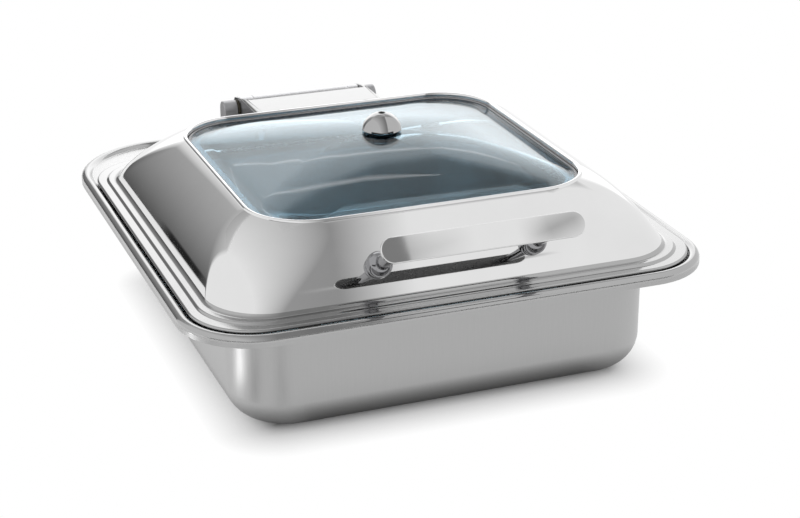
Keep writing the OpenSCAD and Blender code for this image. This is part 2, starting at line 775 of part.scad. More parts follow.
// One post of the handle: a round bar from the plate to a ball whose foot is cut flat on the wall
module handle_post(side) {
    difference() {
        union() {
            on_front_wall(handle_place) translate([side * handle_pitch / 2, 0, 0]) intersection() {
                translate([0, 0, post_ball_out]) sphere(post_ball_r);
                translate([0, 0, leaf_gap]) cylinder(r = 2 * post_ball_r, h = 2 * post_ball_r);
            }
            on_handle(side * handle_pitch / 2) translate([0, 0, post_ball_out])
                cylinder(d = post_d, h = handle_reach - post_ball_out);
        }
        on_handle(side * handle_pitch / 2) translate([0, 0, -post_ball_r])
            cylinder(d = handle_screw_d + 2 * pin_gap, h = handle_screw_grip + cut + post_ball_r);
    }
}

module handle_post_left() color("whitesmoke") handle_post(-1);

module handle_post_right() color("whitesmoke") handle_post(1);

module handle_screws() color("gray") {
    handle_places() {
        translate([0, 0, -handle_washer_in]) cylinder(d = handle_screw_d, h = handle_washer_in + handle_screw_grip);
        translate([0, 0, -handle_washer_in - handle_head_h]) cylinder(d = handle_head_d, h = handle_head_h);
    }
}

// Thick washers whose outer face follows the inside of the wall
module handle_washers() color("silver") {
    for (side = [-1, 1]) intersection() {
        on_handle(side * handle_pitch / 2) translate([0, 0, -handle_washer_in]) difference() {
            cylinder(d = handle_washer_d, h = handle_washer_in);
            translate([0, 0, -cut]) cylinder(d = handle_screw_d + 2 * screw_gap, h = handle_washer_in + 2 * cut);
        }
        across(side * handle_pitch / 2, 2 * handle_washer_d) wall_disc(-1, -sheet - leaf_gap);
    }
}

// Outline of the leaf's cheeks, from the lid's wall to the eye round the pin
module cheek_section() {
    difference() {
        union() {
            polygon([
                [lip_hy, leaf_top_z],
                [leaf_back_y, leaf_top_z],
                [pin_y + eye_r * cos(50), pin_z + eye_r * sin(50)],
                [pin_y - eye_r * cos(80), pin_z - eye_r * sin(80)],
                [foot_hy, leaf_low_z],
                [lip_hy, leaf_low_z]
            ]);
            translate([pin_y, pin_z]) circle(eye_r);
        }
        wall_disc(1, leaf_gap);
        translate([pin_y, pin_z]) circle(d = bush_d);
    }
}

// Top of the leaf with its bend down at the rear
module leaf_top_section() {
    difference() {
        union() {
            translate([lip_hy, leaf_top_z - leaf_t]) square([leaf_back_y - lip_hy, leaf_t]);
            translate([leaf_back_y - leaf_t, leaf_top_z - leaf_lip]) square([leaf_t, leaf_lip]);
        }
        wall_disc(1, leaf_gap);
    }
}

// Tab of the leaf that lies on the lid's wall
module leaf_tab_section() {
    intersection() {
        difference() {
            wall_disc(1, leaf_gap + leaf_t);
            wall_disc(1, leaf_gap);
        }
        translate([lip_hy, leaf_low_z]) square([foot_hy - lip_hy, leaf_top_z - leaf_low_z]);
    }
}

module hinge_leaf() color("whitesmoke") {
    difference() {
        union() {
            across(0, leaf_w) leaf_top_section();
            for (x = [-1, 1]) {
                across(x * (leaf_w - leaf_t) / 2, leaf_t) cheek_section();
                across(x * (leaf_w - leaf_t - leaf_tab) / 2, leaf_tab + leaf_t) leaf_tab_section();
            }
        }
        rivet_holes() cylinder(d = rivet_d + 2 * pin_gap, h = leaf_gap + leaf_t + cut);
    }
}

// Places of the rivets on the lid's rear wall
module rivet_holes() {
    mirror([0, 1, 0]) for (h = rivet_rows, x = [-1, 1])
        on_front_wall(wall_share(h)) translate([x * rivet_x, 0, 0]) children();
}

module hinge_leaf_rivets() color("silver") {
    outside = leaf_gap + leaf_t;
    inside = sheet + 0.2;
    rivet_holes() {
        translate([0, 0, -inside]) cylinder(d = rivet_d, h = inside + outside);
        translate([0, 0, outside + 0.2]) cylinder(d1 = rivet_head_d, d2 = rivet_d, h = rivet_head_h);
        translate([0, 0, outside]) cylinder(d = rivet_d, h = 0.2);
        translate([0, 0, -inside - rivet_head_h]) cylinder(d1 = rivet_d, d2 = rivet_head_d, h = rivet_head_h);
    }
}

module hinge_bushes() color("peru") {
    for (side = [-1, 1]) mirror([side < 0 ? 1 : 0, 0, 0]) difference() {
        union() {
            pin_bar(barrel_half - bush_l, leaf_w / 2 + bush_flange_t, bush_d - 2 * pin_gap);
            pin_bar(leaf_w / 2, leaf_w / 2 + bush_flange_t, bush_flange_d);
        }
        pin_bar(barrel_half - bush_l - cut, leaf_w / 2 + bush_flange_t + cut, pin_d + 2 * pin_gap);
    }
}

module damper_barrel() color("gray") {
    difference() {
        pin_bar(-barrel_half, barrel_half, barrel_d);
        pin_bar(-barrel_half - cut, barrel_half + cut, pin_d + 2 * screw_gap);
        pin_bar(-rotor_l / 2 - rotor_gap, rotor_l / 2 + rotor_gap, rotor_d + 2 * rotor_gap);
        for (side = [-1, 1]) mirror([side < 0 ? 1 : 0, 0, 0])
            pin_bar(barrel_half - bush_l, barrel_half + cut, bush_d);
    }
}

water_pan();
heat_spreader();
induction_disc();
food_pan();
lid_buffers();
hinge_base_plate();
hinge_post_left();
hinge_post_right();
hinge_post_screws();
hinge_screw_washers();
hinge_pin();
damper_rotor();
lid_shell();
lid_glass();
glass_gasket();
glass_retaining_frame();
vent_cap();
vent_stem();
vent_washer_upper();
vent_washer_lower();
vent_nut();
handle_plate();
handle_post_left();
handle_post_right();
handle_screws();
handle_washers();
hinge_leaf();
hinge_leaf_rivets();
hinge_bushes();
damper_barrel();
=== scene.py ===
"""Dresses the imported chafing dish: shells, glass, handle, vent and hinge, their finishes and a studio."""
import json
import math
from typing import NamedTuple

import bmesh
import bpy
from mathutils import Matrix, Vector


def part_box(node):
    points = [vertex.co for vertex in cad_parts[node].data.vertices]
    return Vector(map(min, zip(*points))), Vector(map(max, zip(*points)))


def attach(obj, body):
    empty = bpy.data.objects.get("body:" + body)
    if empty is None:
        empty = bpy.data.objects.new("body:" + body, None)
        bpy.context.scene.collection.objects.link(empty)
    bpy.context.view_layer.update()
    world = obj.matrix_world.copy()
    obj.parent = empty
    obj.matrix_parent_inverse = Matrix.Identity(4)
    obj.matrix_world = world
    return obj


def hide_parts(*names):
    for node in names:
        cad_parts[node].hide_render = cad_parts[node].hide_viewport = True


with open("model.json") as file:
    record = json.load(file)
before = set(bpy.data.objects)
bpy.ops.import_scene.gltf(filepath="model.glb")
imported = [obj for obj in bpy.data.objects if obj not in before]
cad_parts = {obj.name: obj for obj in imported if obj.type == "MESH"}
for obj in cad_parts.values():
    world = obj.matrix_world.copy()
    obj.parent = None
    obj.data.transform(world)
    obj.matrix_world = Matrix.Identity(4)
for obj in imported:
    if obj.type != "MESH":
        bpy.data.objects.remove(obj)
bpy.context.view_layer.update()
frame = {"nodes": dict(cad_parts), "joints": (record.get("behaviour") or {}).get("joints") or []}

bl_info = {
    "name": "Chafing dish dresser",
    "version": (1, 0, 0),
    "blender": (4, 5, 0),
    "location": "3D View > Sidebar > Chafing dish",
    "description": "Models the shells, glass, handle, vent and hinge of an induction chafing dish",
    "category": "Object",
}

PAN_LOW, PAN_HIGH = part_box("water_pan")
FOOD_LOW, FOOD_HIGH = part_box("food_pan")
LID_LOW, LID_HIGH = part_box("lid_shell")
GLASS_LOW, GLASS_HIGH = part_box("lid_glass")
DISC_LOW, DISC_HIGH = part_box("induction_disc")
LEAF_LOW, LEAF_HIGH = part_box("hinge_leaf")
PLATE_LOW, PLATE_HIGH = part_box("hinge_base_plate")
POST_LOW, POST_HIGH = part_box("hinge_post_right")
VENT_LOW, VENT_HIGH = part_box("vent_cap")
VENT_Y = (VENT_LOW.y + VENT_HIGH.y) / 2
PIN = Vector(frame["joints"][0]["pos_m"])

# Segments of each corner, of the lid's wall, of the glass dome, of a turned piece and of a screw's rings
CORNER_STEPS = 14
WALL_STEPS = 18
DOME_STEPS = 16
TURN_STEPS = 64
RING_STEPS = 24

# Points nearer than this are merged, and rings stand this far apart while they are bridged
MERGE = 1e-6
APART = 0.05

# Part of a half width that a round end takes, so that its two arcs don't meet
ROUND_END = 0.998

# Part of the glass dome's half length that its corners take at most
DOME_ROUND = 0.985

# Chamfer of a screw's head, and the radius and depth of its socket, as parts of the head
HEAD_CHAMFER, SOCKET_RADIUS, SOCKET_DEPTH = 0.12, 0.52, 0.55

# Turn between faces, in degrees, past which an edge is shaded sharp, and weight of the larger faces
SHARP_TURN, LARGE_FACES = 35.0, 90


def length(name, description, default):
    """A size of the dish, in metres."""
    return bpy.props.FloatProperty(
        name=name, description=description, default=default, min=0.0, precision=4, unit="LENGTH"
    )


def share(name, description, default):
    """A part of a whole, from 0 to 1."""
    return bpy.props.FloatProperty(
        name=name, description=description, default=default, min=0.0, max=1.0, subtype="FACTOR"
    )


def angle(name, description, degrees):
    """A turn or a lean, kept in radians."""
    return bpy.props.FloatProperty(
        name=name, description=description, default=math.radians(degrees), unit="ROTATION"
    )


def colour(name, description, default):
    """A linear colour."""
    return bpy.props.FloatVectorProperty(
        name=name, description=description, default=default, size=3, min=0.0, max=1.0, subtype="COLOR"
    )


def grey(name, description, tone):
    """A linear colour with no hue."""
    return colour(name, description, (tone, tone, tone))


class PanSizes(bpy.types.PropertyGroup):
    """Sizes of the water pan"""
    rim_x: length("Rim width", "Half the width of the rim", PAN_HIGH.x)
    rim_front: length("Rim front", "From the base's middle to the rim's front edge", -PAN_LOW.y)
    rim_rear: length("Rim rear", "From the base's middle to the rim's rear edge", PAN_HIGH.y)
    crest: length("Crest", "Height of the rim's crest", PAN_HIGH.z)
    floor: length("Floor", "Height of the underside of the floor", PAN_LOW.z)
    rim_corner: length("Rim corner", "Corner radius of the rim at the front", 0.056)
    rear_corner: length("Rear corner", "Corner radius of the rim at the rear", 0.078)
    bead: length("Bead", "Radius of the rolled bead", 0.0045)
    bead_rise: length("Bead rise", "Height of the bead's crest above the ledge", 0.003)
    bead_fillet: length("Bead fillet", "Width of the bend between the ledge and the bead", 0.0009)
    skirt: length("Skirt", "Length of the skirt below the middle of the bead", 0.0035)
    body_x: length("Body width", "Half the width of the pan's body", 0.162)
    body_y: length("Body length", "Half the length of the pan's body", 0.168)
    body_corner: length("Body corner", "Corner radius of the pan's body", 0.046)
    fillet: length("Fillet", "Radius between the floor and the wall", 0.025)
    flare: length("Flare", "Radius between the wall and the ledge", 0.002)
    sheet: length("Sheet", "Thickness of the drawn steel", 0.001)


class BaseSizes(bpy.types.PropertyGroup):
    """Sizes of the induction base's disc"""
    edge: length("Edge", "Rounding of the disc's lower edge", 0.0008)
    groove: length("Groove", "Depth of the turned grooves", 0.00015)
    groove_w: length("Groove width", "Half the width of the turned grooves", 0.0012)
    grooves: bpy.props.IntProperty(name="Grooves", description="Number of turned grooves", default=8, min=0)


class FoodPanSizes(bpy.types.PropertyGroup):
    """Sizes of the food pan"""
    flange_x: length("Flange width", "Half the width of the flange", FOOD_HIGH.x)
    flange_y: length("Flange length", "Half the length of the flange", FOOD_HIGH.y)
    flange_corner: length("Flange corner", "Corner radius of the flange", 0.028)
    floor: length("Floor", "Height of the underside of the floor", FOOD_LOW.z)
    top: length("Top", "Height of the flange's upper face", FOOD_HIGH.z)
    body_x: length("Body width", "Half the width of the body below the flange", 0.155)
    body_y: length("Body length", "Half the length of the body below the flange", 0.161)
    body_corner: length("Body corner", "Corner radius of the body", 0.052)
    fillet: length("Fillet", "Radius between the floor and the wall", 0.020)
    taper: length("Taper", "Taper of the wall over its depth", 0.004)
    brow: length("Brow", "Width of the bend between the wall and the flange", 0.003)


class BufferSizes(bpy.types.PropertyGroup):
    """Sizes of the pads that the lid closes on"""
    pad_l: length("Length", "Length of each pad", 0.016)
    pad_w: length("Width", "Width of each pad", 0.005)
    corner: length("Corner", "Rounding of the upright edges", 0.0015)
    edge: length("Edge", "Rounding of the other edges", 0.0002)


class LidSizes(bpy.types.PropertyGroup):
    """Sizes of the lid's shell"""
    half_x: length("Flange width", "Half the width of the flange", LID_HIGH.x)
    half_y: length("Flange length", "Half the length of the flange", LID_HIGH.y)
    low: length("Hem height", "Height of the hem's underside", LID_LOW.z)
    corner: length("Flange corner", "Corner radius of the flange", 0.047)
    hem: length("Hem", "Radius of the hem", 0.0015)
    step_in: length("Step place", "From the hem to the step in the flange", 0.0065)
    step_w: length("Step width", "Width of the step in the flange", 0.0022)
    foot_in: length("Foot place", "From the hem to the foot of the wall", 0.0152)
    foot_rise: length("Foot height", "Height of the wall's foot above the rim's crest", 0.005)
    foot_corner: length("Foot corner", "Corner radius of the wall at its foot", 0.044)
    fillet: length("Fillet", "Radius between the flange and the wall", 0.004)
    lip_rise: length("Lip height", "Height of the window's lip above the rim's crest", 0.0482)
    bulge: length("Bulge", "Bulge of the wall out of a straight line", 0.0062)
    swell: length("Corner swell", "Extra corner radius half way up the wall", 0.014)
    lip_bead: length("Lip", "Radius of the rolled lip round the window", 0.0018)
    lip_turn: angle("Lip turn", "Turn at which the lip's roll leaves the wall", 150)


class WindowSizes(bpy.types.PropertyGroup):
    """Sizes of the window, its glass and what holds it"""
    half_x: length("Window width", "Half the width of the window", 0.129)
    half_y: length("Window length", "Half the length of the window", 0.1218)
    corner: length("Window corner", "Corner radius of the window", 0.044)
    seat_drop: length("Return", "Depth of the window's return below the lip", 0.0078)
    glass_x: length("Glass width", "Half the width of the glass", GLASS_HIGH.x)
    glass_y: length("Glass length", "Half the length of the glass", GLASS_HIGH.y)
    glass_corner: length("Glass corner", "Corner radius of the glass", 0.0421)
    glass_t: length("Glass thickness", "Thickness of the glass", 0.004)
    rise: length("Rise", "Rise of the glass at its middle", 0.0234)
    band: length("Band", "Width of the flat band round the glass", 0.0045)
    softening: length("Softening", "Growth of the dome's corner radius towards its middle", 0.070)
    hole_gap: length("Hole gap", "Clearance of the vent's stem in the glass", 0.0002)
    gasket_gap: length("Gasket gap", "Clearance between the gasket and the window", 0.0003)
    gasket_lip: length("Gasket lip", "Thickness of the gasket's lower lip", 0.0012)
    gasket_brow: length("Gasket brow", "Height of the gasket's upper lip above the glass", 0.0005)
    gasket_bow: length("Gasket bow", "Rounding of the gasket's upper lip", 0.0003)
    gasket_brim: share("Gasket brim", "Width of the upper lip as a part of the lower one", 0.5)
    gasket_side: length("Gasket side", "Thickness of the gasket's side", 0.0016)
    gasket_w: length("Gasket width", "Width of the gasket's lower lip", 0.0041)
    frame_gap: length("Frame gap", "Clearance between the window's return and the frame", 0.0002)
    frame_w: length("Frame width", "Width of the frame under the gasket", 0.012)
    frame_t: length("Frame thickness", "Thickness of the frame under the gasket", 0.0012)
    frame_up: length("Frame upstand", "Height of the frame's upstand", 0.003)
    frame_edge: length("Frame edge", "Rounding of the frame's lower edges", 0.0003)


class VentSizes(bpy.types.PropertyGroup):
    """Sizes of the steam vent"""
    dome_r: length("Dome", "Radius of the dome", 0.0157)
    dome_h: length("Dome height", "Height of the dome", 0.0135)
    foot: length("Foot", "Width of the bevel under the dome's skirt", 0.0006)
    foot_turn: angle("Foot turn", "Turn about the dome's middle that the bevel takes", 2.5)
    hole_r: length("Steam hole", "Radius of the steam hole", 0.0025)
    mouth: length("Mouth", "Width of the bevel round the steam hole", 0.0004)
    stem_r: length("Stem", "Radius of the stem", 0.005)
    grip: length("Grip", "Length of stem inside the dome", 0.008)
    edge: length("Edge", "Rounding of the edges of stem and washers", 0.0004)
    washer_r: length("Washer", "Radius of the washers", 0.012)
    washer_t: length("Washer thickness", "Thickness of the washers", 0.0012)
    nut_af: length("Nut", "Width of the nut across its flats", 0.016)
    nut_face: share("Nut face", "Width of the nut's end faces as a part of the nut", 0.93)
    nut_chamfer: length("Nut chamfer", "Height of the nut's chamfers", 0.0006)


class HandleSizes(bpy.types.PropertyGroup):
    """Sizes of the handle"""
    plate_l: length("Plate length", "Length of the plate", 0.1506)
    plate_w: length("Plate width", "Width of the plate", 0.0182)
    plate_t: length("Plate thickness", "Thickness of the plate", 0.003)
    plate_edge: length("Plate edge", "Rounding of the plate's edges", 0.0007)
    pitch: length("Pitch", "Distance between the posts", 0.118)
    reach: length("Reach", "From the lid's wall to the plate, along the posts", 0.0566)
    lean: angle("Lean", "Lean of the posts below the square of the wall", 7.5)
    place: share("Place", "Place on the wall, from its foot to its lip", 0.346)
    post_r: length("Post", "Radius of the posts", 0.005)
    ball_r: length("Ball", "Radius of the ball at the foot of each post", 0.0095)
    ball_out: length("Ball place", "From the wall to the middle of the ball", 0.0028)
    neck: length("Neck", "Width of the bend between ball and post", 0.0008)
    foot_gap: length("Foot gap", "Gap between the ball's cut foot and the wall", 0.00015)
    screw_r: length("Screw", "Radius of the screws", 0.003)
    screw_grip: length("Grip", "Grip of the screws in the posts", 0.014)
    head_r: length("Head", "Radius of the screws' heads", 0.0054)
    head_h: length("Head height", "Height of the screws' heads", 0.0036)
    washer_t: length("Washer", "Thickness of the washers at their thin side", 0.0012)
    washer_r: length("Washer radius", "Radius of the washers", 0.0072)


class HingeSizes(bpy.types.PropertyGroup):
    """Sizes of the rear hinge"""
    leaf_x: length("Leaf width", "Half the width of the leaf", LEAF_HIGH.x)
    leaf_top: length("Leaf top", "Height of the leaf's top", LEAF_HIGH.z)
    leaf_t: length("Leaf thickness", "Thickness of the leaf", 0.002)
    leaf_back: length("Leaf back", "From the leaf's rear bend to the pin", 0.022)
    leaf_lip: length("Leaf lip", "Depth of the leaf's rear bend", 0.007)
    leaf_tab: length("Leaf tab", "Width of the tabs on the lid's wall", 0.016)
    leaf_bend: length("Leaf bend", "Outside radius of the leaf's bends", 0.0026)
    leaf_gap: length("Leaf gap", "Gap between the leaf and the lid's wall", 0.00015)
    leaf_foot: share("Leaf foot", "Part of the wall's rise that lies below the leaf", 0.25)
    eye_r: length("Eye", "Radius of the eyes round the pin", 0.011)
    eye_start: angle("Eye start", "Turn about the pin at which each eye starts", 50)
    eye_end: angle("Eye end", "Turn about the pin at which each eye ends", -100)
    pin_r: length("Pin", "Radius of the pin", 0.004)
    pin_chamfer: length("Pin chamfer", "Chamfer of the pin's ends", 0.0006)
    bush_r: length("Bush", "Radius of the bushes", 0.006)
    bush_gap: length("Bush gap", "Clearance of the bushes on the pin", 0.00005)
    bush_flange_r: length("Bush flange", "Radius of the bushes' flanges", 0.008)
    bush_flange_t: length("Bush flange thickness", "Thickness of the bushes' flanges", 0.001)
    bush_edge: length("Bush edge", "Chamfer of the bushes' flanges", 0.0002)
    bush_l: length("Bush length", "Length of the bushes inside the barrel", 0.006)
    play: length("Play", "Clearance between the bushes and the posts", 0.0003)
    barrel_r: length("Barrel", "Radius of the damper's barrel", 0.010)
    groove: length("Groove", "Depth of the barrel's grooves and end chamfers", 0.0005)
    groove_floor: length("Groove floor", "Half the width of a groove at its floor", 0.0009)
    groove_mouth: length("Groove mouth", "Half the width of a groove at its mouth", 0.0014)
    groove_place: share("Groove place", "Place of the grooves, from the middle to the ends", 0.8)
    plate_corner: length("Plate corner", "Corner radius of the base plate", 0.003)
    plate_edge: length("Plate edge", "Rounding of the base plate's edges", 0.0004)
    post_l: length("Post depth", "Depth of the posts from front to rear", 0.016)
    post_w: length("Post width", "Width of the posts", POST_HIGH.x - POST_LOW.x)
    post_edge: length("Post edge", "Rounding of the posts' edges", 0.0009)
    rivet_r: length("Rivet", "Radius of the rivets", 0.0024)
    rivet_head_r: length("Rivet head", "Radius of the rivets' heads", 0.00456)
    rivet_head_h: length("Rivet head height", "Height of the rivets' heads", 0.0024)
    rivet_gap: length("Rivet gap", "Gap between the lid's wall and the inner heads", 0.0002)
    rivet_edge: length("Rivet edge", "From the rivets to the leaf's upper and lower edge", 0.00684)
    screw_r: length("Screw", "Radius of the posts' screws", 0.002)
    screw_pitch: length("Screw pitch", "Distance between the two screws of a post", 0.0092)
    screw_grip: length("Screw grip", "Grip of the screws in the posts", 0.012)
    head_r: length("Head", "Radius of the screws' heads", 0.0035)
    head_h: length("Head height", "Height of the screws' heads", 0.004)
    washer_t: length("Washer", "Thickness of the screws' washers", 0.0008)
    washer_r: length("Washer radius", "Radius of the screws' washers", 0.004)
    washer_hole: length("Washer hole", "Radius of the hole in the screws' washers", 0.0021)
    washer_edge: length("Washer edge", "Rounding of the screws' washers", 0.00015)


class Finishes(bpy.types.PropertyGroup):
    """Colours of the finishes"""
    mirror_steel: grey("Mirror steel", "Polished steel of the lid and the handle's plate", 0.75)
    rim_steel: grey("Rim steel", "Bright steel of the lid's flange and the pan's rim", 0.42)
    # Polished steel, darkened as a painted dark reflection on the dome
    dome_steel: grey("Dome steel", "Polished steel of the vent's dome, darkened as a painted dark reflection", 0.42)
    # Chrome of the posts, darkened as painted shade from the handle's plate above them
    post_steel: colour("Post steel", "Chrome of the handle's posts, darkened as painted shade", (0.30, 0.30, 0.31))
    pan_steel: grey("Pan steel", "Brushed steel of the water pan", 0.42)
    ledge_steel: grey("Ledge steel", "Drawn steel of the water pan's ledge", 0.48)
    drawn_steel: grey("Drawn steel", "Dull steel of the lid's inside", 0.34)
    # The plate's back is the same steel as its face, darkened here as painted shade
    plate_back: grey("Plate back", "Steel of the back of the handle's plate, darkened as painted shade", 0.14)
    food_steel: grey("Food pan steel", "Drawn steel of the food pan", 0.62)
    leaf_sheet: grey("Leaf sheet", "Fine brushed steel of the hinge leaf", 0.38)
    hinge_steel: colour("Hinge steel", "Satin steel of posts, plate and glass frame", (0.38, 0.38, 0.39))
    screw_steel: colour("Screw steel", "Bright steel of screws, rivets and pin", (0.60, 0.60, 0.61))
    damper_steel: colour("Damper steel", "Turned steel of the damper's barrel", (0.55, 0.55, 0.56))
    base_steel: grey("Base steel", "Turned ferritic steel of the induction base", 0.58)
    spreader_metal: colour("Spreader metal", "Plain aluminium of the heat spreader", (0.78, 0.78, 0.79))
    bush_bronze: colour("Bush bronze", "Dark sintered bronze of the bushes", (0.10, 0.09, 0.07))
    window_glass: colour("Window glass", "Blue-grey tint of the window", (0.47, 0.67, 0.78))
    washer_rubber: grey("Washer rubber", "Black silicone of the vent's washers", 0.04)
    seal_rubber: colour("Seal rubber", "Grey silicone of the seal round the glass", (0.15, 0.15, 0.155))
    buffer_rubber: grey("Buffer rubber", "Dark grey silicone of the lid's buffers", 0.10)
    rotor_plastic: grey("Rotor plastic", "Black plastic of the damper's rotor", 0.05)


class StageLook(bpy.types.PropertyGroup):
    """Floor, light and camera"""
    floor: grey("Floor", "Colour of the floor", 0.90)
    floor_size: length("Floor size", "Half the width of the floor", 12.0)
    shade: bpy.props.FloatVectorProperty(
        name="Shade", description="Half sizes of the shaded floor", default=(0.13, 0.14), size=2,
        unit="LENGTH",
    )
    fade: length("Fade", "Distance from the shaded floor to plain white", 0.05)
    camera: bpy.props.FloatVectorProperty(
        name="Camera", description="Place of the camera", default=(-0.4773, -1.2913, 0.624), unit="LENGTH"
    )
    yaw: angle("Yaw", "Turn of the camera from the dish's length to its right", 21.0)
    pitch: angle("Pitch", "Tilt of the camera below the horizon", 22.47)
    roll: angle("Roll", "Turn of the camera about its own view", -0.12)
    lens: bpy.props.FloatProperty(
        name="Lens", description="Focal length in millimetres", default=84.57, unit="CAMERA"
    )
    sensor: bpy.props.FloatProperty(
        name="Sensor", description="Sensor width in millimetres", default=36.0, unit="CAMERA"
    )
    ambient: share("Ambient", "Light of the room on floor and rubber", 0.75)


class ChafingDish(bpy.types.PropertyGroup):
    """All the sizes and colours of the dish"""
    pan: bpy.props.PointerProperty(type=PanSizes)
    base: bpy.props.PointerProperty(type=BaseSizes)
    food: bpy.props.PointerProperty(type=FoodPanSizes)
    buffer: bpy.props.PointerProperty(type=BufferSizes)
    lid: bpy.props.PointerProperty(type=LidSizes)
    window: bpy.props.PointerProperty(type=WindowSizes)
    vent: bpy.props.PointerProperty(type=VentSizes)
    handle: bpy.props.PointerProperty(type=HandleSizes)
    hinge: bpy.props.PointerProperty(type=HingeSizes)
    finish: bpy.props.PointerProperty(type=Finishes)
    stage: bpy.props.PointerProperty(type=StageLook)


def dish():
    """The dish's properties on the current scene."""
    return bpy.context.scene.chafing_dish


# Mesh tools

def pairs(items, closed=False):
    """Each item with the next one, and the last with the first where they close."""
    ends = [(items[-1], items[0])] if closed else []
    return list(zip(items, items[1:])) + ends


def arc(middle, radius, start, end, steps):
    """Points of an arc in a plane, with its angles in degrees."""
    turns = [math.radians(start + (end - start) * i / steps) for i in range(steps + 1)]
    return [(middle[0] + radius * math.cos(t), middle[1] + radius * math.sin(t)) for t in turns]


def bevel(bm, geom, offset, segments, affect="EDGES"):
    """Rounds edges or corners."""
    return bmesh.ops.bevel(
        bm, geom=geom, offset=offset, offset_type="OFFSET", segments=segments, profile=0.5,
        affect=affect, material=-1,
    )


def ease(bm, turn, offset, segments):
    """Rounds the edges at which faces turn by more than an angle in degrees."""
    sharp = [e for e in bm.edges if e.calc_face_angle(0.0) > math.radians(turn)]
    bevel(bm, sharp, offset, segments)


def bridge(bm, loops, closed=False):
    """Joins each loop of edges to the next one."""
    for near, far in pairs(loops, closed):
        bmesh.ops.bridge_loops(bm, edges=near + far)


def drawn_out(bm, extruded, move):
    """Moves the vertices that an extrusion made, and returns them."""
    verts = [v for v in extruded["geom"] if isinstance(v, bmesh.types.BMVert)]
    bmesh.ops.translate(bm, verts=verts, vec=move)
    return verts


def outline(bm, half_x, half_y, corner, rear_corner, steps=CORNER_STEPS):
    """A flat rounded rectangle round the origin, as one face."""
    corners = bmesh.ops.create_grid(bm, x_segments=1, y_segments=1, size=1.0)["verts"]
    bmesh.ops.scale(bm, verts=corners, vec=(half_x, half_y, 1.0))
    front = [v for v in corners if v.co.y < 0]
    rear = [v for v in corners if v.co.y > 0]
    bevel(bm, front, corner, steps, "VERTICES")
    rounded = bevel(bm, rear, rear_corner, steps, "VERTICES")
    return rounded["verts"][0].link_faces[0]


def face_outwards(bm):
    """Turns the faces of a solid outwards, and those of an open sheet all one way."""
    bmesh.ops.recalc_face_normals(bm, faces=bm.faces)
    if bm.calc_volume(signed=True) < 0:
        bmesh.ops.reverse_faces(bm, faces=bm.faces)


def loft(bm, rings, closed=False, floor=False):
    """Bridges rounded rectangles: half width and length, corner, height, middle's Y, any rear corner."""
    loops = []
    faces = []
    levels = []
    for i, (half_x, half_y, corner, height, mid_y, *rear) in enumerate(rings):
        face = outline(bm, half_x, half_y, corner, rear[0] if rear else corner)
        bmesh.ops.translate(bm, verts=face.verts, vec=(0.0, mid_y, APART * i))
        loops.append(list(face.edges))
        levels.append((list(face.verts), height))
        faces.append(face)
    bmesh.ops.delete(bm, geom=faces[1:] if floor else faces, context="FACES_ONLY")
    bridge(bm, loops, closed)
    for verts, height in levels:
        for vert in verts:
            vert.co.z = height
    face_outwards(bm)
    return loops


def thicken(bm, thickness):
    """Thickens a sheet behind its upper skin, and returns the new faces."""
    bmesh.ops.recalc_face_normals(bm, faces=bm.faces)
    highest = max(bm.faces, key=lambda face: face.calc_center_median().z)
    if highest.normal.z < 0:
        bmesh.ops.reverse_faces(bm, faces=bm.faces)
    outside = set(bm.faces)
    bmesh.ops.solidify(bm, geom=bm.faces, thickness=thickness)
    return [face for face in bm.faces if face not in outside]


def turned(profile, steps=TURN_STEPS, closed=False):
    """A new solid turned about Z from a profile of radii and heights."""
    bm = bmesh.new()
    points = [bm.verts.new((radius, 0.0, height)) for radius, height in profile]
    lines = [bm.edges.new(ends) for ends in pairs(points, closed)]
    bmesh.ops.spin(
        bm, geom=points + lines, cent=(0, 0, 0), axis=(0, 0, 1), angle=math.tau, steps=steps, use_merge=True
    )
    bmesh.ops.remove_doubles(bm, verts=bm.verts, dist=MERGE)
    face_outwards(bm)
    return bm


def ring_profile(inner, outer, low, high, edge):
    """Closed profile of a washer or tube with rounded edges."""
    return (
        arc((outer - edge, low + edge), edge, -90, 0, steps=3)
        + arc((outer - edge, high - edge), edge, 0, 90, steps=3)
        + arc((inner + edge, high - edge), edge, 90, 180, steps=3)
        + arc((inner + edge, low + edge), edge, 180, 270, steps=3)
    )


def rounded_box(size, edge, corner):
    """A new box round the origin with rounded edges, of which the upright ones are rounder."""
    bm = bmesh.new()
    made = bmesh.ops.create_cube(bm, size=1.0)["verts"]
    bmesh.ops.scale(bm, verts=made, vec=size)
    standing = [e for e in bm.edges if abs(e.verts[0].co.z - e.verts[1].co.z) > size[2] / 2]
    bevel(bm, standing, corner, segments=5)
    ease(bm, turn=40, offset=edge, segments=3)
    return bm


def circle(bm, radius, height, sides=RING_STEPS):
    """A loop of edges on a circle, or as many of them on a polygon of fewer sides."""
    known = set(bm.edges)
    ring = bmesh.ops.create_circle(bm, segments=sides, radius=radius)["verts"]
    bmesh.ops.translate(bm, verts=ring, vec=(0, 0, height))
    if sides < RING_STEPS:
        edges = [e for e in bm.edges if e not in known]
        bmesh.ops.subdivide_edges(bm, edges=edges, cuts=RING_STEPS // sides - 1)
    return [e for e in bm.edges if e not in known]


def cap_screw(head_r, head_h, shank_r, shank_l):
    """A new screw along Z whose socket opens downwards at the origin."""
    chamfer = HEAD_CHAMFER * head_r
    bm = bmesh.new()
    rim = circle(bm, SOCKET_RADIUS * head_r, 0.0, sides=6)
    well = bmesh.ops.extrude_edge_only(bm, edges=rim)
    deep = drawn_out(bm, well, (0, 0, SOCKET_DEPTH * head_h))
    bmesh.ops.contextual_create(bm, geom=deep)
    loops = [rim]
    for radius, height in (
        (head_r - chamfer, 0.0),
        (head_r, chamfer),
        (head_r, head_h),
        (shank_r, head_h),
        (shank_r, head_h + shank_l - chamfer),
        (shank_r - chamfer / 2, head_h + shank_l),
    ):
        loops.append(circle(bm, radius, height))
    bridge(bm, loops)
    bmesh.ops.contextual_create(bm, geom=loops[-1])
    face_outwards(bm)
    return bm


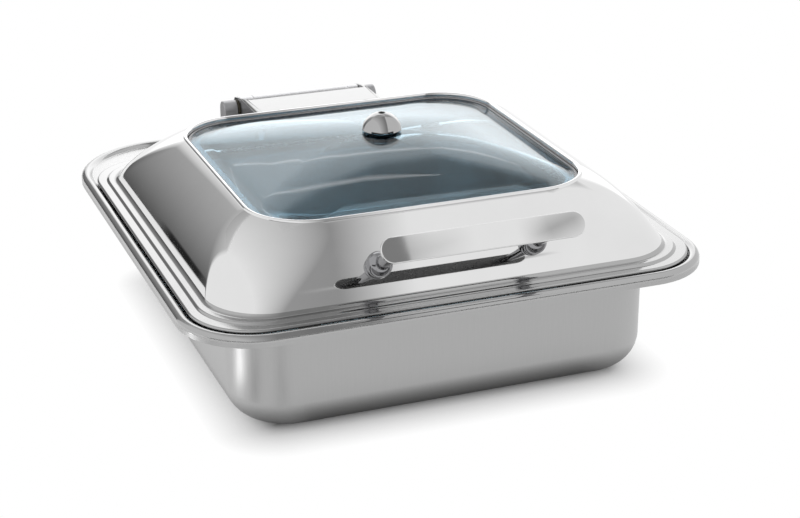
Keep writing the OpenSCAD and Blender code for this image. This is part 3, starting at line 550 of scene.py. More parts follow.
def as_mesh(bm, name):
    """A new mesh from a bmesh, which is freed."""
    mesh = bpy.data.meshes.new(name)
    bm.to_mesh(mesh)
    bm.free()
    return mesh


def add_part(bm, part, matrix):
    """Adds a part to a group of parts, and frees it."""
    part.transform(matrix)
    mesh = as_mesh(part, "part")
    bm.from_mesh(mesh)
    bpy.data.meshes.remove(mesh)


def placed(name, data):
    """A new object in the scene."""
    made = bpy.data.objects.new(name, data)
    bpy.context.scene.collection.objects.link(made)
    return made


def finished(bm, name, body, nodes, finishes):
    """Turns a mesh into a piece that rides on a body and stands for its CAD nodes."""
    bmesh.ops.remove_doubles(bm, verts=bm.verts, dist=MERGE)
    mesh = as_mesh(bm, name)
    mesh.shade_smooth()
    mesh.set_sharp_from_angle(angle=math.radians(SHARP_TURN))
    for material in finishes:
        mesh.materials.append(material)
    piece = placed(name, mesh)
    shading = piece.modifiers.new("Even shading", "WEIGHTED_NORMAL")
    shading.keep_sharp = True
    shading.weight = LARGE_FACES
    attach(piece, body)
    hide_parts(*nodes)
    return piece


def dress_node(name, material):
    """Gives a CAD node that stays in view its finish."""
    mesh = frame["nodes"][name].data
    mesh.materials.clear()
    mesh.materials.append(material)


# Finishes

class Nodes:
    """A material's node tree with its shader, built a node at a time."""

    # Range that noise mostly keeps to
    LOW, HIGH = 0.3, 0.7

    def __init__(self, name):
        self.material = bpy.data.materials.new(name)
        self.material.use_nodes = True
        self.tree = self.material.node_tree
        self.shader = self.tree.nodes["Principled BSDF"]
        self.place = self.add("ShaderNodeTexCoord").outputs["Object"]

    def add(self, kind, **settings):
        """Adds a node and sets what it is given."""
        node = self.tree.nodes.new(kind)
        for key, value in settings.items():
            setattr(node, key, value)
        return node

    def link(self, source, target):
        """Joins an output to an input."""
        self.tree.links.new(source, target)

    def surface(self, shader):
        """Makes a shader the material's surface."""
        self.link(shader, self.tree.nodes["Material Output"].inputs["Surface"])

    def noise(self, scale, stretch=(1, 1, 1)):
        """Noise on the piece's own place, stretched along its axes."""
        mapping = self.add("ShaderNodeMapping")
        mapping.inputs["Scale"].default_value = stretch
        self.link(self.place, mapping.inputs["Vector"])
        noise = self.add("ShaderNodeTexNoise")
        noise.inputs["Scale"].default_value = scale
        noise.inputs["Detail"].default_value = 4.0
        self.link(mapping.outputs["Vector"], noise.inputs["Vector"])
        return noise.outputs["Fac"]

    def spread(self, source, low, high, start=LOW, end=HIGH):
        """Maps noise, or another value, onto a range of values."""
        mapped = self.add("ShaderNodeMapRange")
        mapped.inputs["From Min"].default_value = start
        mapped.inputs["From Max"].default_value = end
        mapped.inputs["To Min"].default_value = low
        mapped.inputs["To Max"].default_value = high
        self.link(source, mapped.inputs["Value"])
        return mapped.outputs["Result"]

    def tones(self, source, colour, depth):
        """Sets the base colour to two tones of one colour."""
        ramp = self.add("ShaderNodeValToRGB")
        dark, light = ramp.color_ramp.elements
        dark.position = self.LOW
        light.position = self.HIGH
        dark.color = (*[c * (1 - depth) for c in colour], 1)
        light.color = (*[min(1, c * (1 + depth)) for c in colour], 1)
        self.link(source, ramp.inputs["Fac"])
        self.link(ramp.outputs["Color"], self.shader.inputs["Base Color"])

    def relief(self, source, depth):
        """Bumps the surface by a depth in metres."""
        bump = self.add("ShaderNodeBump")
        bump.inputs["Distance"].default_value = depth
        bump.inputs["Strength"].default_value = 1.0
        self.link(source, bump.inputs["Height"])
        self.link(bump.outputs["Normal"], self.shader.inputs["Normal"])


class Grain(NamedTuple):
    """Roughness of a finish, its grain's scale and stretch, and how far tone and relief follow that."""
    roughness: float
    scale: float
    stretch: tuple = (1, 1, 1)
    tone: float = 0.04
    spread: float = 0.05
    depth: float = 0.0
    metallic: float = 1.0


# Fine dry grain of silicone and moulded plastic
MOULDED = {"scale": 900.0, "tone": 0.25, "spread": 0.08, "depth": 4e-5, "metallic": 0.0}

# Every finish but the glass. None has the name of a material slot, because the frame has those already
GRAINS = {
    "mirror_steel": Grain(0.045, 35.0, tone=0.015, spread=0.02),
    "rim_steel": Grain(0.11, 60.0, tone=0.02, spread=0.02),
    "dome_steel": Grain(0.05, 60.0, tone=0.02, spread=0.02),
    "post_steel": Grain(0.05, 60.0, tone=0.02, spread=0.02),
    "pan_steel": Grain(0.34, 900.0, stretch=(1, 1, 0.05), tone=0.02, spread=0.03, depth=1e-6),
    "ledge_steel": Grain(0.26, 300.0),
    "drawn_steel": Grain(0.50, 300.0),
    "plate_back": Grain(0.30, 300.0),
    "food_steel": Grain(0.48, 500.0, stretch=(1, 0.06, 1), spread=0.04, depth=1e-6),
    "leaf_sheet": Grain(0.16, 900.0, stretch=(0.04, 1, 1), tone=0.03, spread=0.03, depth=2e-6),
    "hinge_steel": Grain(0.42, 500.0, stretch=(1, 1, 0.08), depth=1e-6),
    "screw_steel": Grain(0.22, 700.0, stretch=(1, 1, 0.2)),
    "damper_steel": Grain(0.28, 800.0, stretch=(0.08, 1, 1), depth=4e-6),
    "base_steel": Grain(0.30, 600.0, tone=0.05),
    "spreader_metal": Grain(0.35, 400.0),
    "bush_bronze": Grain(0.38, 1200.0, tone=0.12, depth=1e-5),
    "washer_rubber": Grain(0.30, **MOULDED),
    "seal_rubber": Grain(0.30, **MOULDED),
    "buffer_rubber": Grain(0.60, **MOULDED),
    "rotor_plastic": Grain(0.45, **MOULDED),
}


def finish(name):
    """A finish with its grain, made when it is first asked for."""
    known = bpy.data.materials.get(name)
    if known:
        return known
    look = GRAINS[name]
    nodes = Nodes(name)
    nodes.shader.inputs["Metallic"].default_value = look.metallic
    grain = nodes.noise(look.scale, look.stretch)
    nodes.tones(grain, getattr(dish().finish, name), look.tone)
    rough = nodes.spread(grain, look.roughness - look.spread, look.roughness + look.spread)
    nodes.link(rough, nodes.shader.inputs["Roughness"])
    if look.depth:
        nodes.relief(grain, look.depth)
    return nodes.material


def window_glass():
    """Blue-grey glass, a little uneven in its tint."""
    nodes = Nodes("window_glass")
    nodes.shader.inputs["Transmission Weight"].default_value = 1.0
    nodes.shader.inputs["IOR"].default_value = 1.5
    cloud = nodes.noise(scale=14.0)
    nodes.tones(cloud, dish().finish.window_glass, depth=0.02)
    nodes.link(nodes.spread(cloud, low=0.0, high=0.012), nodes.shader.inputs["Roughness"])
    return nodes.material


# Shapes of the lid

class LidSection:
    """The lid's section: heights above the base, distances inwards from the hem or the wall's foot."""

    def __init__(self):
        sizes = dish()
        self.lid = sizes.lid
        self.window = sizes.window
        self.crest = sizes.pan.crest
        self.foot_x = self.lid.half_x - self.lid.foot_in
        self.foot_y = self.lid.half_y - self.lid.foot_in
        self.lip_x = self.window.half_x + 2 * self.lid.lip_bead
        self.lip_y = self.window.half_y + 2 * self.lid.lip_bead
        self.lip_corner = self.window.corner + 2 * self.lid.lip_bead
        self.run = self.foot_y - self.lip_y
        self.rise = self.lid.lip_rise - self.lid.foot_rise
        chord = math.hypot(self.run, self.rise)
        self.radius = (chord * chord / 4 + self.lid.bulge ** 2) / (2 * self.lid.bulge)
        self.half_angle = math.asin(chord / 2 / self.radius)
        self.tilt = math.atan2(self.rise, self.run)
        reach = self.radius - self.lid.bulge
        self.middle = (
            self.run / 2 + reach * math.sin(self.tilt),
            self.crest + (self.lid.foot_rise + self.lid.lip_rise) / 2 - reach * math.cos(self.tilt),
        )
        self.foot_slope = self.tilt + self.half_angle
        self.flange_z = self.lid.low + 2 * self.lid.hem
        self.foot_z = self.crest + self.lid.foot_rise
        self.shelf_z = self.foot_z - self.lid.fillet * (1 - math.cos(self.foot_slope))
        self.lip_z = self.crest + self.lid.lip_rise
        self.seat_z = self.lip_z - self.window.seat_drop
        self.leaf_low = self.foot_z + sizes.hinge.leaf_foot * self.rise

    def wall_turn(self, part):
        """Angle from the wall's centre to a point on it, from 0 at the foot to 1 at the lip."""
        return math.pi / 2 + self.tilt + self.half_angle * (1 - 2 * part)

    def wall_share(self, height):
        """Part of the wall, from its foot to its lip, at a height."""
        turn = math.pi - math.asin((height - self.middle[1]) / self.radius)
        return (1 - (turn - math.pi / 2 - self.tilt) / self.half_angle) / 2

    def wall_point(self, part):
        """Distance inwards from the foot, and height, of a point on the wall."""
        turn = self.wall_turn(part)
        inwards = self.middle[0] + self.radius * math.cos(turn)
        return inwards, self.middle[1] + self.radius * math.sin(turn)

    def flange_ring(self, inwards, height):
        """Outline of the flange."""
        lid = self.lid
        corner = lid.corner + (lid.foot_corner - lid.corner) * inwards / lid.foot_in
        return (lid.half_x - inwards, lid.half_y - inwards, corner, height, 0.0)

    def wall_ring(self, part):
        """Outline of the wall, whose corners swell half way up."""
        inwards, height = self.wall_point(part)
        along = inwards / self.run
        half_x = self.foot_x - along * (self.foot_x - self.lip_x)
        corner = self.lid.foot_corner + (self.lip_corner - self.lid.foot_corner) * along
        corner += self.lid.swell * 4 * along * (1 - along)
        return (half_x, self.foot_y - inwards, corner, height, 0.0)

    def lip_ring(self, inwards, height):
        """Outline of the lip round the window."""
        return (self.lip_x - inwards, self.lip_y - inwards, self.lip_corner - inwards, height, 0.0)

    def rings(self):
        """Outlines of the lid's outside from the hem to the seat of the glass."""
        lid = self.lid
        step_h = self.shelf_z - self.flange_z
        fillet_in = lid.foot_in - lid.fillet * math.sin(self.foot_slope)
        hem = arc((lid.hem, lid.low + lid.hem), lid.hem, 270, 90, steps=10)
        made = [self.flange_ring(inwards, height) for inwards, height in hem]
        bends = 6
        for i in range(bends + 1):
            rise = step_h * (1 - math.cos(math.pi * i / bends)) / 2
            made.append(self.flange_ring(lid.step_in + lid.step_w * i / bends, self.flange_z + rise))
        for i in range(bends + 1):
            turn = self.foot_slope * i / bends
            inwards = fillet_in + lid.fillet * math.sin(turn)
            made.append(self.flange_ring(inwards, self.shelf_z + lid.fillet * (1 - math.cos(turn))))
        made += [self.wall_ring(i / WALL_STEPS) for i in range(1, WALL_STEPS + 1)]
        lip = arc((lid.lip_bead, self.lip_z), lid.lip_bead, math.degrees(lid.lip_turn), 0, steps=8)
        made += [self.lip_ring(inwards, height) for inwards, height in lip]
        made.append(self.lip_ring(2 * lid.lip_bead, self.seat_z))
        return made

    def on_front_wall(self, part):
        """Frame on the front wall: Z stands out of the wall and Y runs up it."""
        inwards, height = self.wall_point(part)
        turn = self.wall_turn(part) - math.pi / 2
        return Matrix.Translation((0, inwards - self.foot_y, height)) @ Matrix.Rotation(turn, 4, "X")

    def on_rear_wall(self, part):
        """Frame on the rear wall: Z stands out of the wall."""
        inwards, height = self.wall_point(part)
        turn = math.pi / 2 - self.wall_turn(part)
        return Matrix.Translation((0, self.foot_y - inwards, height)) @ Matrix.Rotation(turn, 4, "X")

    def on_handle(self, x):
        """Frame of the handle: Z runs along its posts, which lean about the middle of their balls."""
        handle = dish().handle
        out = Matrix.Translation((x, 0, handle.ball_out))
        back = Matrix.Translation((0, 0, -handle.ball_out))
        return self.on_front_wall(handle.place) @ out @ Matrix.Rotation(handle.lean, 4, "X") @ back


# Pieces of the dish

class CHAFER_OT_water_pan(bpy.types.Operator):
    """Draws the water pan with its ledge and rolled rim"""
    bl_idname = "chafer.water_pan"
    bl_label = "Water pan"

    def execute(self, context):
        pan = dish().pan
        ledge_z = pan.crest - pan.bead_rise
        rim_y = (pan.rim_front + pan.rim_rear) / 2
        rim_mid = (pan.rim_rear - pan.rim_front) / 2
        inside = pan.fillet - pan.sheet
        floor = pan.floor + pan.sheet

        def body_ring(outwards, height):
            reach = outwards - pan.sheet
            return (pan.body_x + reach, pan.body_y + reach, pan.body_corner + reach, height, 0.0)

        def rim_ring(inwards, height):
            corners = (pan.rim_corner - inwards, pan.rear_corner - inwards)
            return (pan.rim_x - inwards, rim_y - inwards, corners[0], height, rim_mid, corners[1])

        rings = [body_ring(x, z) for x, z in arc((-inside, floor + inside), inside, 270, 360, steps=10)]
        flare = pan.flare + pan.sheet
        rings += [body_ring(x, z) for x, z in arc((flare, ledge_z - flare), flare, 180, 90, steps=5)]
        bead_z = pan.crest - pan.bead
        start = 180 - math.degrees(math.asin((ledge_z - bead_z) / pan.bead))
        bend = len(rings)
        rings += [rim_ring(-x, z) for x, z in arc((-pan.bead, bead_z), pan.bead, start, 0, steps=14)]
        rings.append(rim_ring(0.0, bead_z - pan.skirt))
        bm = bmesh.new()
        loops = loft(bm, rings, floor=True)
        bevel(bm, loops[bend], pan.bead_fillet, segments=3)
        thicken(bm, pan.sheet)
        rim, ledge = 1, 2
        for face in bm.faces:
            height = face.calc_center_median().z
            if height > ledge_z - flare:
                face.material_index = ledge if abs(height - ledge_z) < pan.sheet / 4 else rim
        finishes = [finish("pan_steel"), finish("rim_steel"), finish("ledge_steel")]
        finished(bm, "water_pan_shell", "dish", ["water_pan"], finishes)
        return {"FINISHED"}


class CHAFER_OT_base(bpy.types.Operator):
    """Turns the steel disc of the induction base and gives the spreader inside it its finish"""
    bl_idname = "chafer.base"
    bl_label = "Induction base"

    def execute(self, context):
        base = dish().base
        radius = DISC_HIGH.x
        low = DISC_LOW.z
        wide = base.groove_w
        profile = [(0.0, low)]
        for i in range(1, base.grooves + 1):
            middle = radius * i / (base.grooves + 1)
            profile += [(middle - wide, low), (middle, low + base.groove), (middle + wide, low)]
        profile += arc((radius - base.edge, low + base.edge), base.edge, -90, 0, steps=4)
        profile += [(radius, DISC_HIGH.z), (0.0, DISC_HIGH.z)]
        disc = turned(profile, steps=96)
        finished(disc, "induction_base", "dish", ["induction_disc"], [finish("base_steel")])
        dress_node("heat_spreader", finish("spreader_metal"))
        return {"FINISHED"}


class CHAFER_OT_food_pan(bpy.types.Operator):
    """Draws the food pan that hangs on the ledge"""
    bl_idname = "chafer.food_pan"
    bl_label = "Food pan"

    def execute(self, context):
        food = dish().food
        sheet = dish().pan.sheet
        inside = food.fillet - sheet
        floor = food.floor + sheet

        def ring(outwards, height):
            reach = outwards - sheet
            return (food.body_x + reach, food.body_y + reach, food.body_corner + reach, height, 0.0)

        bow = arc((-food.taper - inside, floor + inside), inside, 270, 360, steps=10)
        rings = [ring(x, z) for x, z in bow]
        rings.append(ring(0.0, food.top))
        rings.append((food.flange_x, food.flange_y, food.flange_corner, food.top, 0.0))
        bm = bmesh.new()
        loops = loft(bm, rings, floor=True)
        bevel(bm, loops[-2], food.brow, segments=5)
        thicken(bm, sheet)
        finished(bm, "food_pan_shell", "dish", ["food_pan"], [finish("food_steel")])
        return {"FINISHED"}


class CHAFER_OT_buffers(bpy.types.Operator):
    """Moulds the four pads that the lid closes on"""
    bl_idname = "chafer.buffers"
    bl_label = "Lid buffers"

    def execute(self, context):
        buffer = dish().buffer
        low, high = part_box("lid_buffers")
        size = (buffer.pad_l, buffer.pad_w, high.z - low.z)
        bm = bmesh.new()
        for x in (low.x + size[0] / 2, high.x - size[0] / 2):
            for y in (low.y + size[1] / 2, high.y - size[1] / 2):
                pad = rounded_box(size, buffer.edge, buffer.corner)
                add_part(bm, pad, Matrix.Translation((x, y, (low.z + high.z) / 2)))
        finished(bm, "lid_buffer_pads", "dish", ["lid_buffers"], [finish("buffer_rubber")])
        return {"FINISHED"}


# Pieces of the lid

class CHAFER_OT_lid_shell(bpy.types.Operator):
    """Draws the lid's shell from its hem to the lip round the window"""
    bl_idname = "chafer.lid_shell"
    bl_label = "Lid shell"

    def execute(self, context):
        section = LidSection()
        bm = bmesh.new()
        loft(bm, section.rings())
        wall, inside, flange = range(3)
        for face in bm.faces:
            face.material_index = flange if face.calc_center_median().z < section.foot_z else wall
        for face in thicken(bm, dish().pan.sheet):
            face.material_index = inside
        finishes = [finish("mirror_steel"), finish("drawn_steel"), finish("rim_steel")]
        finished(bm, "lid_shell_drawn", "lid", ["lid_shell"], finishes)
        return {"FINISHED"}


class CHAFER_OT_window(bpy.types.Operator):
    """Models the domed glass, its gasket and the frame under it"""
    bl_idname = "chafer.window"
    bl_label = "Window"

    def execute(self, context):
        window = dish().window
        seat = LidSection().seat_z
        self.glass(window)
        self.gasket(window, seat)
        self.frame(window, seat)
        return {"FINISHED"}

    def glass(self, window):
        """The domed pane with a hole for the vent's stem."""
        reach_x = window.glass_x - window.band
        reach_y = window.glass_y - window.band
        corner = window.glass_corner - window.band
        low = GLASS_LOW.z
        hole = dish().vent.stem_r + window.hole_gap
        start = hole / reach_y
        shares = [start + (1 - start) * (i / DOME_STEPS) for i in range(DOME_STEPS + 1)]

        def dome(part, base):
            rounding = min(part * (corner + (1 - part) * window.softening), DOME_ROUND * part * reach_y)
            half_x = part * reach_x if part > shares[0] else hole
            lift = 1 - part ** 2
            return (half_x, part * reach_y, rounding, base + window.rise * lift, VENT_Y * lift)

        edge = (window.glass_x, window.glass_y, window.glass_corner)
        rings = [dome(part, low + window.glass_t) for part in shares]
        rings += [(*edge, low + window.glass_t, 0.0), (*edge, low, 0.0)]
        rings += [dome(part, low) for part in reversed(shares)]
        bm = bmesh.new()
        loft(bm, rings, closed=True)
        finished(bm, "lid_glass_pane", "lid", ["lid_glass"], [window_glass()])

    def around(self, window, grow, profile):
        """Outlines round the window from a profile of distances inwards and heights."""
        half_x = window.half_x + grow
        half_y = window.half_y + grow
        corner = window.corner + grow
        return [(half_x - x, half_y - x, corner - x, z, 0.0) for x, z in profile]

    def gasket(self, window, seat):
        """The grey channel round the glass, with a rounded upper lip."""
        low = seat + window.gasket_lip
        high = low + window.glass_t
        top = high + window.gasket_brow
        side = window.gasket_side
        wide = window.gasket_w
        brim = window.gasket_brim * wide
        bow = window.gasket_bow
        profile = [(0.0, seat)]
        profile += [(-x, z) for x, z in arc((-bow, top - bow), bow, 0, 90, steps=4)]
        profile += [(-x, z) for x, z in arc((bow - brim, top - bow), bow, 90, 180, steps=4)]
        profile += [(brim, high), (side, high), (side, low), (wide, low), (wide, seat)]
        bm = bmesh.new()
        loft(bm, self.around(window, -window.gasket_gap, profile), closed=True)
        seal = finish("seal_rubber")
        finished(bm, "glass_gasket_channel", "lid", ["glass_gasket"], [seal])

    def frame(self, window, seat):
        """The angle frame that carries the gasket from below."""
        grow = dish().pan.sheet + window.frame_gap + window.frame_t
        thick = window.frame_t
        wide = window.frame_w
        top = seat + window.frame_up
        profile = [(0.0, seat - thick), (0.0, top), (thick, top)]
        profile += [(thick, seat), (wide, seat), (wide, seat - thick)]
        bm = bmesh.new()
        loops = loft(bm, self.around(window, grow, profile), closed=True)
        bevel(bm, loops[0] + loops[-1], window.frame_edge, segments=2)
        steel = finish("hinge_steel")
        finished(bm, "glass_frame_angle", "lid", ["glass_retaining_frame"], [steel])


class CHAFER_OT_vent(bpy.types.Operator):
    """Turns the steam vent's dome, stem, washers and nut"""
    bl_idname = "chafer.vent"
    bl_label = "Steam vent"

    def execute(self, context):
        vent = dish().vent
        self.dome(vent, GLASS_HIGH.z + vent.washer_t)
        self.ring("vent_stem", "_tube", "fastener_steel", "screw_steel", vent.hole_r, vent.stem_r)
        for node in ("vent_washer_upper", "vent_washer_lower"):
            self.ring(node, "_ring", "black_rubber", "washer_rubber", vent.stem_r, vent.washer_r)
        self.nut(vent)
        return {"FINISHED"}

    def on_glass(self, bm, name, slot, node, material):
        """Moves a piece to the vent's place on the dish's length, and finishes it."""
        bmesh.ops.translate(bm, verts=bm.verts, vec=(0.0, VENT_Y, 0.0))
        finished(bm, name, "lid", [node], [finish(material)])

    def dome(self, vent, base):
        """The polished dome with its steam hole."""
        middle = base + vent.dome_h - vent.dome_r
        rim = math.degrees(math.asin((base - middle) / vent.dome_r) + vent.foot_turn)
        crown = math.degrees(math.acos((vent.hole_r + vent.mouth) / vent.dome_r))
        skirt = arc((0, middle), vent.dome_r, rim, crown, steps=20)
        lip_z = skirt[-1][1] - vent.mouth
        roof = base + vent.grip
        profile = [(vent.stem_r, base), (skirt[0][0] - vent.foot, base)]
        profile += skirt
        profile += [(vent.hole_r, lip_z), (vent.hole_r, roof), (vent.stem_r, roof)]
        cap = turned(profile, closed=True)
        # The dome's finish is darkened as a painted dark reflection
        self.on_glass(cap, "vent_cap_dome", "polished_steel", "vent_cap", "dome_steel")

    def ring(self, node, ending, slot, material, inner, outer):
        """A tube or a washer of its node's height."""
        low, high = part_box(node)
        profile = ring_profile(inner, outer, low.z, high.z, dish().vent.edge)
        self.on_glass(turned(profile, closed=True), node + ending, slot, node, material)

    def nut(self, vent):
        """The hexagon nut under the glass."""
        low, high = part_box("vent_nut")
        bm = bmesh.new()
        radius = vent.nut_af / 2 / math.cos(math.pi / 6)
        loops = []
        for size, height, sides in (
            (vent.stem_r, low.z, RING_STEPS),
            (vent.nut_face * radius, low.z, 6),
            (radius, low.z + vent.nut_chamfer, 6),
            (radius, high.z - vent.nut_chamfer, 6),
            (vent.nut_face * radius, high.z, 6),
            (vent.stem_r, high.z, RING_STEPS),
        ):
            loops.append(circle(bm, size, height, sides))
        bridge(bm, loops, closed=True)
        face_outwards(bm)
        self.on_glass(bm, "vent_nut_hex", "fastener_steel", "vent_nut", "screw_steel")


class CHAFER_OT_handle(bpy.types.Operator):
    """Models the handle's plate, its posts with ball feet and its screws, and gives the washers their
    finish
    """
    bl_idname = "chafer.handle"
    bl_label = "Handle"

    def execute(self, context):
        handle = dish().handle
        section = LidSection()
        self.plate(handle, section)
        for side, node in ((-1, "handle_post_left"), (1, "handle_post_right")):
            self.post(handle, section, side, node)
        self.screws(handle, section)
        dress_node("handle_washers", finish("screw_steel"))
        return {"FINISHED"}

    def plate(self, handle, section):
        """The flat plate with round ends, eased edges and a back darkened as painted shade."""
        bm = bmesh.new()
        end = ROUND_END * handle.plate_w / 2
        face = outline(bm, handle.plate_l / 2, handle.plate_w / 2, end, end, steps=20)
        drawn_out(bm, bmesh.ops.extrude_face_region(bm, geom=[face]), (0, 0, handle.plate_t))
        face_outwards(bm)
        ease(bm, turn=60, offset=handle.plate_edge, segments=4)
        # Faces turned towards the wall take the darker finish, as painted shade
        for face in bm.faces:
            face.material_index = int(face.normal.z < -0.5)
        bm.transform(section.on_handle(0.0) @ Matrix.Translation((0, 0, handle.reach)))
        finishes = [finish("mirror_steel"), finish("plate_back")]
        finished(bm, "handle_plate_bar", "lid", ["handle_plate"], finishes)

    def post(self, handle, section, side, node):
        """A round post whose ball foot is cut flat where it meets the wall."""
        meet = math.degrees(math.acos(handle.post_r / handle.ball_r))
        profile = arc((0, handle.ball_out), handle.ball_r, -90, meet, steps=22)
        profile += [(handle.post_r, handle.reach), (0.0, handle.reach)]
        bm = turned(profile)
        neck_z = handle.ball_out + handle.ball_r * math.sin(math.radians(meet))
        neck = [e for e in bm.edges if all(abs(v.co.z - neck_z) < MERGE for v in e.verts)]
        bevel(bm, neck, handle.neck, segments=3)
        bm.transform(section.on_handle(side * handle.pitch / 2))
        wall = section.on_front_wall(handle.place)
        outwards = wall.to_3x3() @ Vector((0, 0, 1))
        foot = wall @ Vector((0, 0, handle.foot_gap))
        ball = bm.verts[:] + bm.edges[:] + bm.faces[:]
        cut = bmesh.ops.bisect_plane(bm, geom=ball, plane_co=foot, plane_no=outwards, clear_inner=True)
        rim = [e for e in cut["geom_cut"] if isinstance(e, bmesh.types.BMEdge)]
        bmesh.ops.edgeloop_fill(bm, edges=rim)
        face_outwards(bm)
        # The posts' chrome is darkened as painted shade
        finished(bm, node + "_ball", "lid", [node], [finish("post_steel")])

    def screws(self, handle, section):
        """The two socket screws from inside the lid."""
        under = dish().pan.sheet + handle.washer_r * math.tan(handle.lean) + handle.washer_t
        bm = bmesh.new()
        for side in (-1, 1):
            screw = cap_screw(handle.head_r, handle.head_h, handle.screw_r, under + handle.screw_grip)
            post = section.on_handle(side * handle.pitch / 2)
            add_part(bm, screw, post @ Matrix.Translation((0, 0, -under - handle.head_h)))
        steel = finish("screw_steel")
        finished(bm, "handle_socket_screws", "lid", ["handle_screws"], [steel])


# Pieces of the hinge

class CHAFER_OT_hinge_base(bpy.types.Operator):
    """Models the hinge's posts, base plate, screws and washers on the dish"""
    bl_idname = "chafer.hinge_base"
    bl_label = "Hinge base"

    def execute(self, context):
        hinge = dish().hinge
        self.plate(hinge)
        post_x = hinge.leaf_x + hinge.bush_flange_t + hinge.play + hinge.post_w / 2
        for side, node in ((-1, "hinge_post_left"), (1, "hinge_post_right")):
            self.post(hinge, side * post_x, node)
        self.screws(hinge, post_x)
        return {"FINISHED"}

    def plate(self, hinge):
        """The plate that spreads the hinge's load on the ledge."""
        bm = rounded_box(PLATE_HIGH - PLATE_LOW, hinge.plate_edge, hinge.plate_corner)
        bm.transform(Matrix.Translation((PLATE_LOW + PLATE_HIGH) / 2))
        finished(bm, "hinge_plate", "dish", ["hinge_base_plate"], [finish("hinge_steel")])

    def post(self, hinge, x, node):
        """A flat post with a round head."""
        half = hinge.post_l / 2
        base = PLATE_HIGH.z
        top = PIN.z + half
        bm = bmesh.new()
        corners = bmesh.ops.create_grid(bm, x_segments=1, y_segments=1, size=1.0)["verts"]
        bmesh.ops.scale(bm, verts=corners, vec=(half, (top - base) / 2, 1.0))
        bevel(bm, [v for v in corners if v.co.y > 0], ROUND_END * half, 16, "VERTICES")
        drawn_out(bm, bmesh.ops.extrude_face_region(bm, geom=bm.faces[:]), (0, 0, hinge.post_w))
        bmesh.ops.translate(bm, verts=bm.verts, vec=(0, 0, -hinge.post_w / 2))
        face_outwards(bm)
        ease(bm, turn=60, offset=hinge.post_edge, segments=3)
        stand = Matrix(((0, 0, 1, 0), (1, 0, 0, 0), (0, 1, 0, 0), (0, 0, 0, 1)))
        bm.transform(Matrix.Translation((x, PIN.y, (top + base) / 2)) @ stand)
        finished(bm, node + "_block", "dish", [node], [finish("hinge_steel")])

    def screws(self, hinge, post_x):
        """The four screws from under the ledge, and their washers."""
        washer_z = PLATE_LOW.z - dish().pan.sheet - hinge.washer_t
        head_z = washer_z - hinge.head_h
        shank = PLATE_HIGH.z + hinge.screw_grip - washer_z
        profile = ring_profile(hinge.washer_hole, hinge.washer_r, 0.0, hinge.washer_t, hinge.washer_edge)
        screws = bmesh.new()
        washers = bmesh.new()
        for x in (-post_x, post_x):
            for y in (PIN.y - hinge.screw_pitch / 2, PIN.y + hinge.screw_pitch / 2):
                screw = cap_screw(hinge.head_r, hinge.head_h, hinge.screw_r, shank)
                add_part(screws, screw, Matrix.Translation((x, y, head_z)))
                washer = turned(profile, steps=32, closed=True)
                add_part(washers, washer, Matrix.Translation((x, y, washer_z)))
        steel = finish("screw_steel")
        finished(screws, "hinge_socket_screws", "dish", ["hinge_post_screws"], [steel])
        finished(washers, "hinge_washers", "dish", ["hinge_screw_washers"], [steel])


class CHAFER_OT_hinge_pin(bpy.types.Operator):
    """Turns the pin, its bushes and the damper's barrel, and gives the rotor inside it its finish"""
    bl_idname = "chafer.hinge_pin"
    bl_label = "Hinge pin"

    def execute(self, context):
        hinge = dish().hinge
        self.pin(hinge)
        self.bushes(hinge)
        self.barrel(hinge)
        dress_node("damper_rotor", finish("rotor_plastic"))
        return {"FINISHED"}

    def along_pin(self, side=1):
        """Frame on the hinge pin: Z runs along the pin, to the right or, at side -1, to the left."""
        return Matrix.Translation((0.0, PIN.y, PIN.z)) @ Matrix.Rotation(side * math.pi / 2, 4, "Y")

    def pin(self, hinge):
        """The pin with its chamfered ends."""
        low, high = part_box("hinge_pin")
        radius = hinge.pin_r
        end = hinge.pin_chamfer
        profile = [(0.0, low.x), (radius - end, low.x), (radius, low.x + end)]
        profile += [(radius, high.x - end), (radius - end, high.x), (0.0, high.x)]
        bm = turned(profile, steps=48)
        bm.transform(self.along_pin())
        finished(bm, "hinge_pin_bar", "dish", ["hinge_pin"], [finish("screw_steel")])

    def bushes(self, hinge):
        """The two flanged bushes in the leaf's cheeks."""
        bore = hinge.pin_r + hinge.bush_gap
        start = hinge.leaf_x - hinge.leaf_t - hinge.bush_l
        cheek = hinge.leaf_x
        end = cheek + hinge.bush_flange_t
        flange = hinge.bush_flange_r
        edge = hinge.bush_edge
        profile = [(bore, start), (hinge.bush_r, start), (hinge.bush_r, cheek)]
        profile += [(flange - edge, cheek), (flange, cheek + edge)]
        profile += [(flange, end - edge), (flange - edge, end), (bore, end)]
        bm = bmesh.new()
        for side in (1, -1):
            add_part(bm, turned(profile, steps=48, closed=True), self.along_pin(side))
        finished(bm, "hinge_bush_pair", "lid", ["hinge_bushes"], [finish("bush_bronze")])

    def barrel(self, hinge):
        """The damper's barrel with two turned grooves."""
        half = hinge.leaf_x - hinge.leaf_t
        outer = hinge.barrel_r
        inner = outer - hinge.groove
        profile = [(hinge.bush_r, -half), (inner, -half), (outer, hinge.groove - half)]
        for middle in (-hinge.groove_place * half, hinge.groove_place * half):
            profile += [(outer, middle - hinge.groove_mouth), (inner, middle - hinge.groove_floor)]
            profile += [(inner, middle + hinge.groove_floor), (outer, middle + hinge.groove_mouth)]
        profile += [(outer, half - hinge.groove), (inner, half), (hinge.bush_r, half)]
        bm = turned(profile, closed=True)
        bm.transform(self.along_pin())
        steel = finish("damper_steel")
        finished(bm, "damper_barrel_tube", "lid", ["damper_barrel"], [steel])


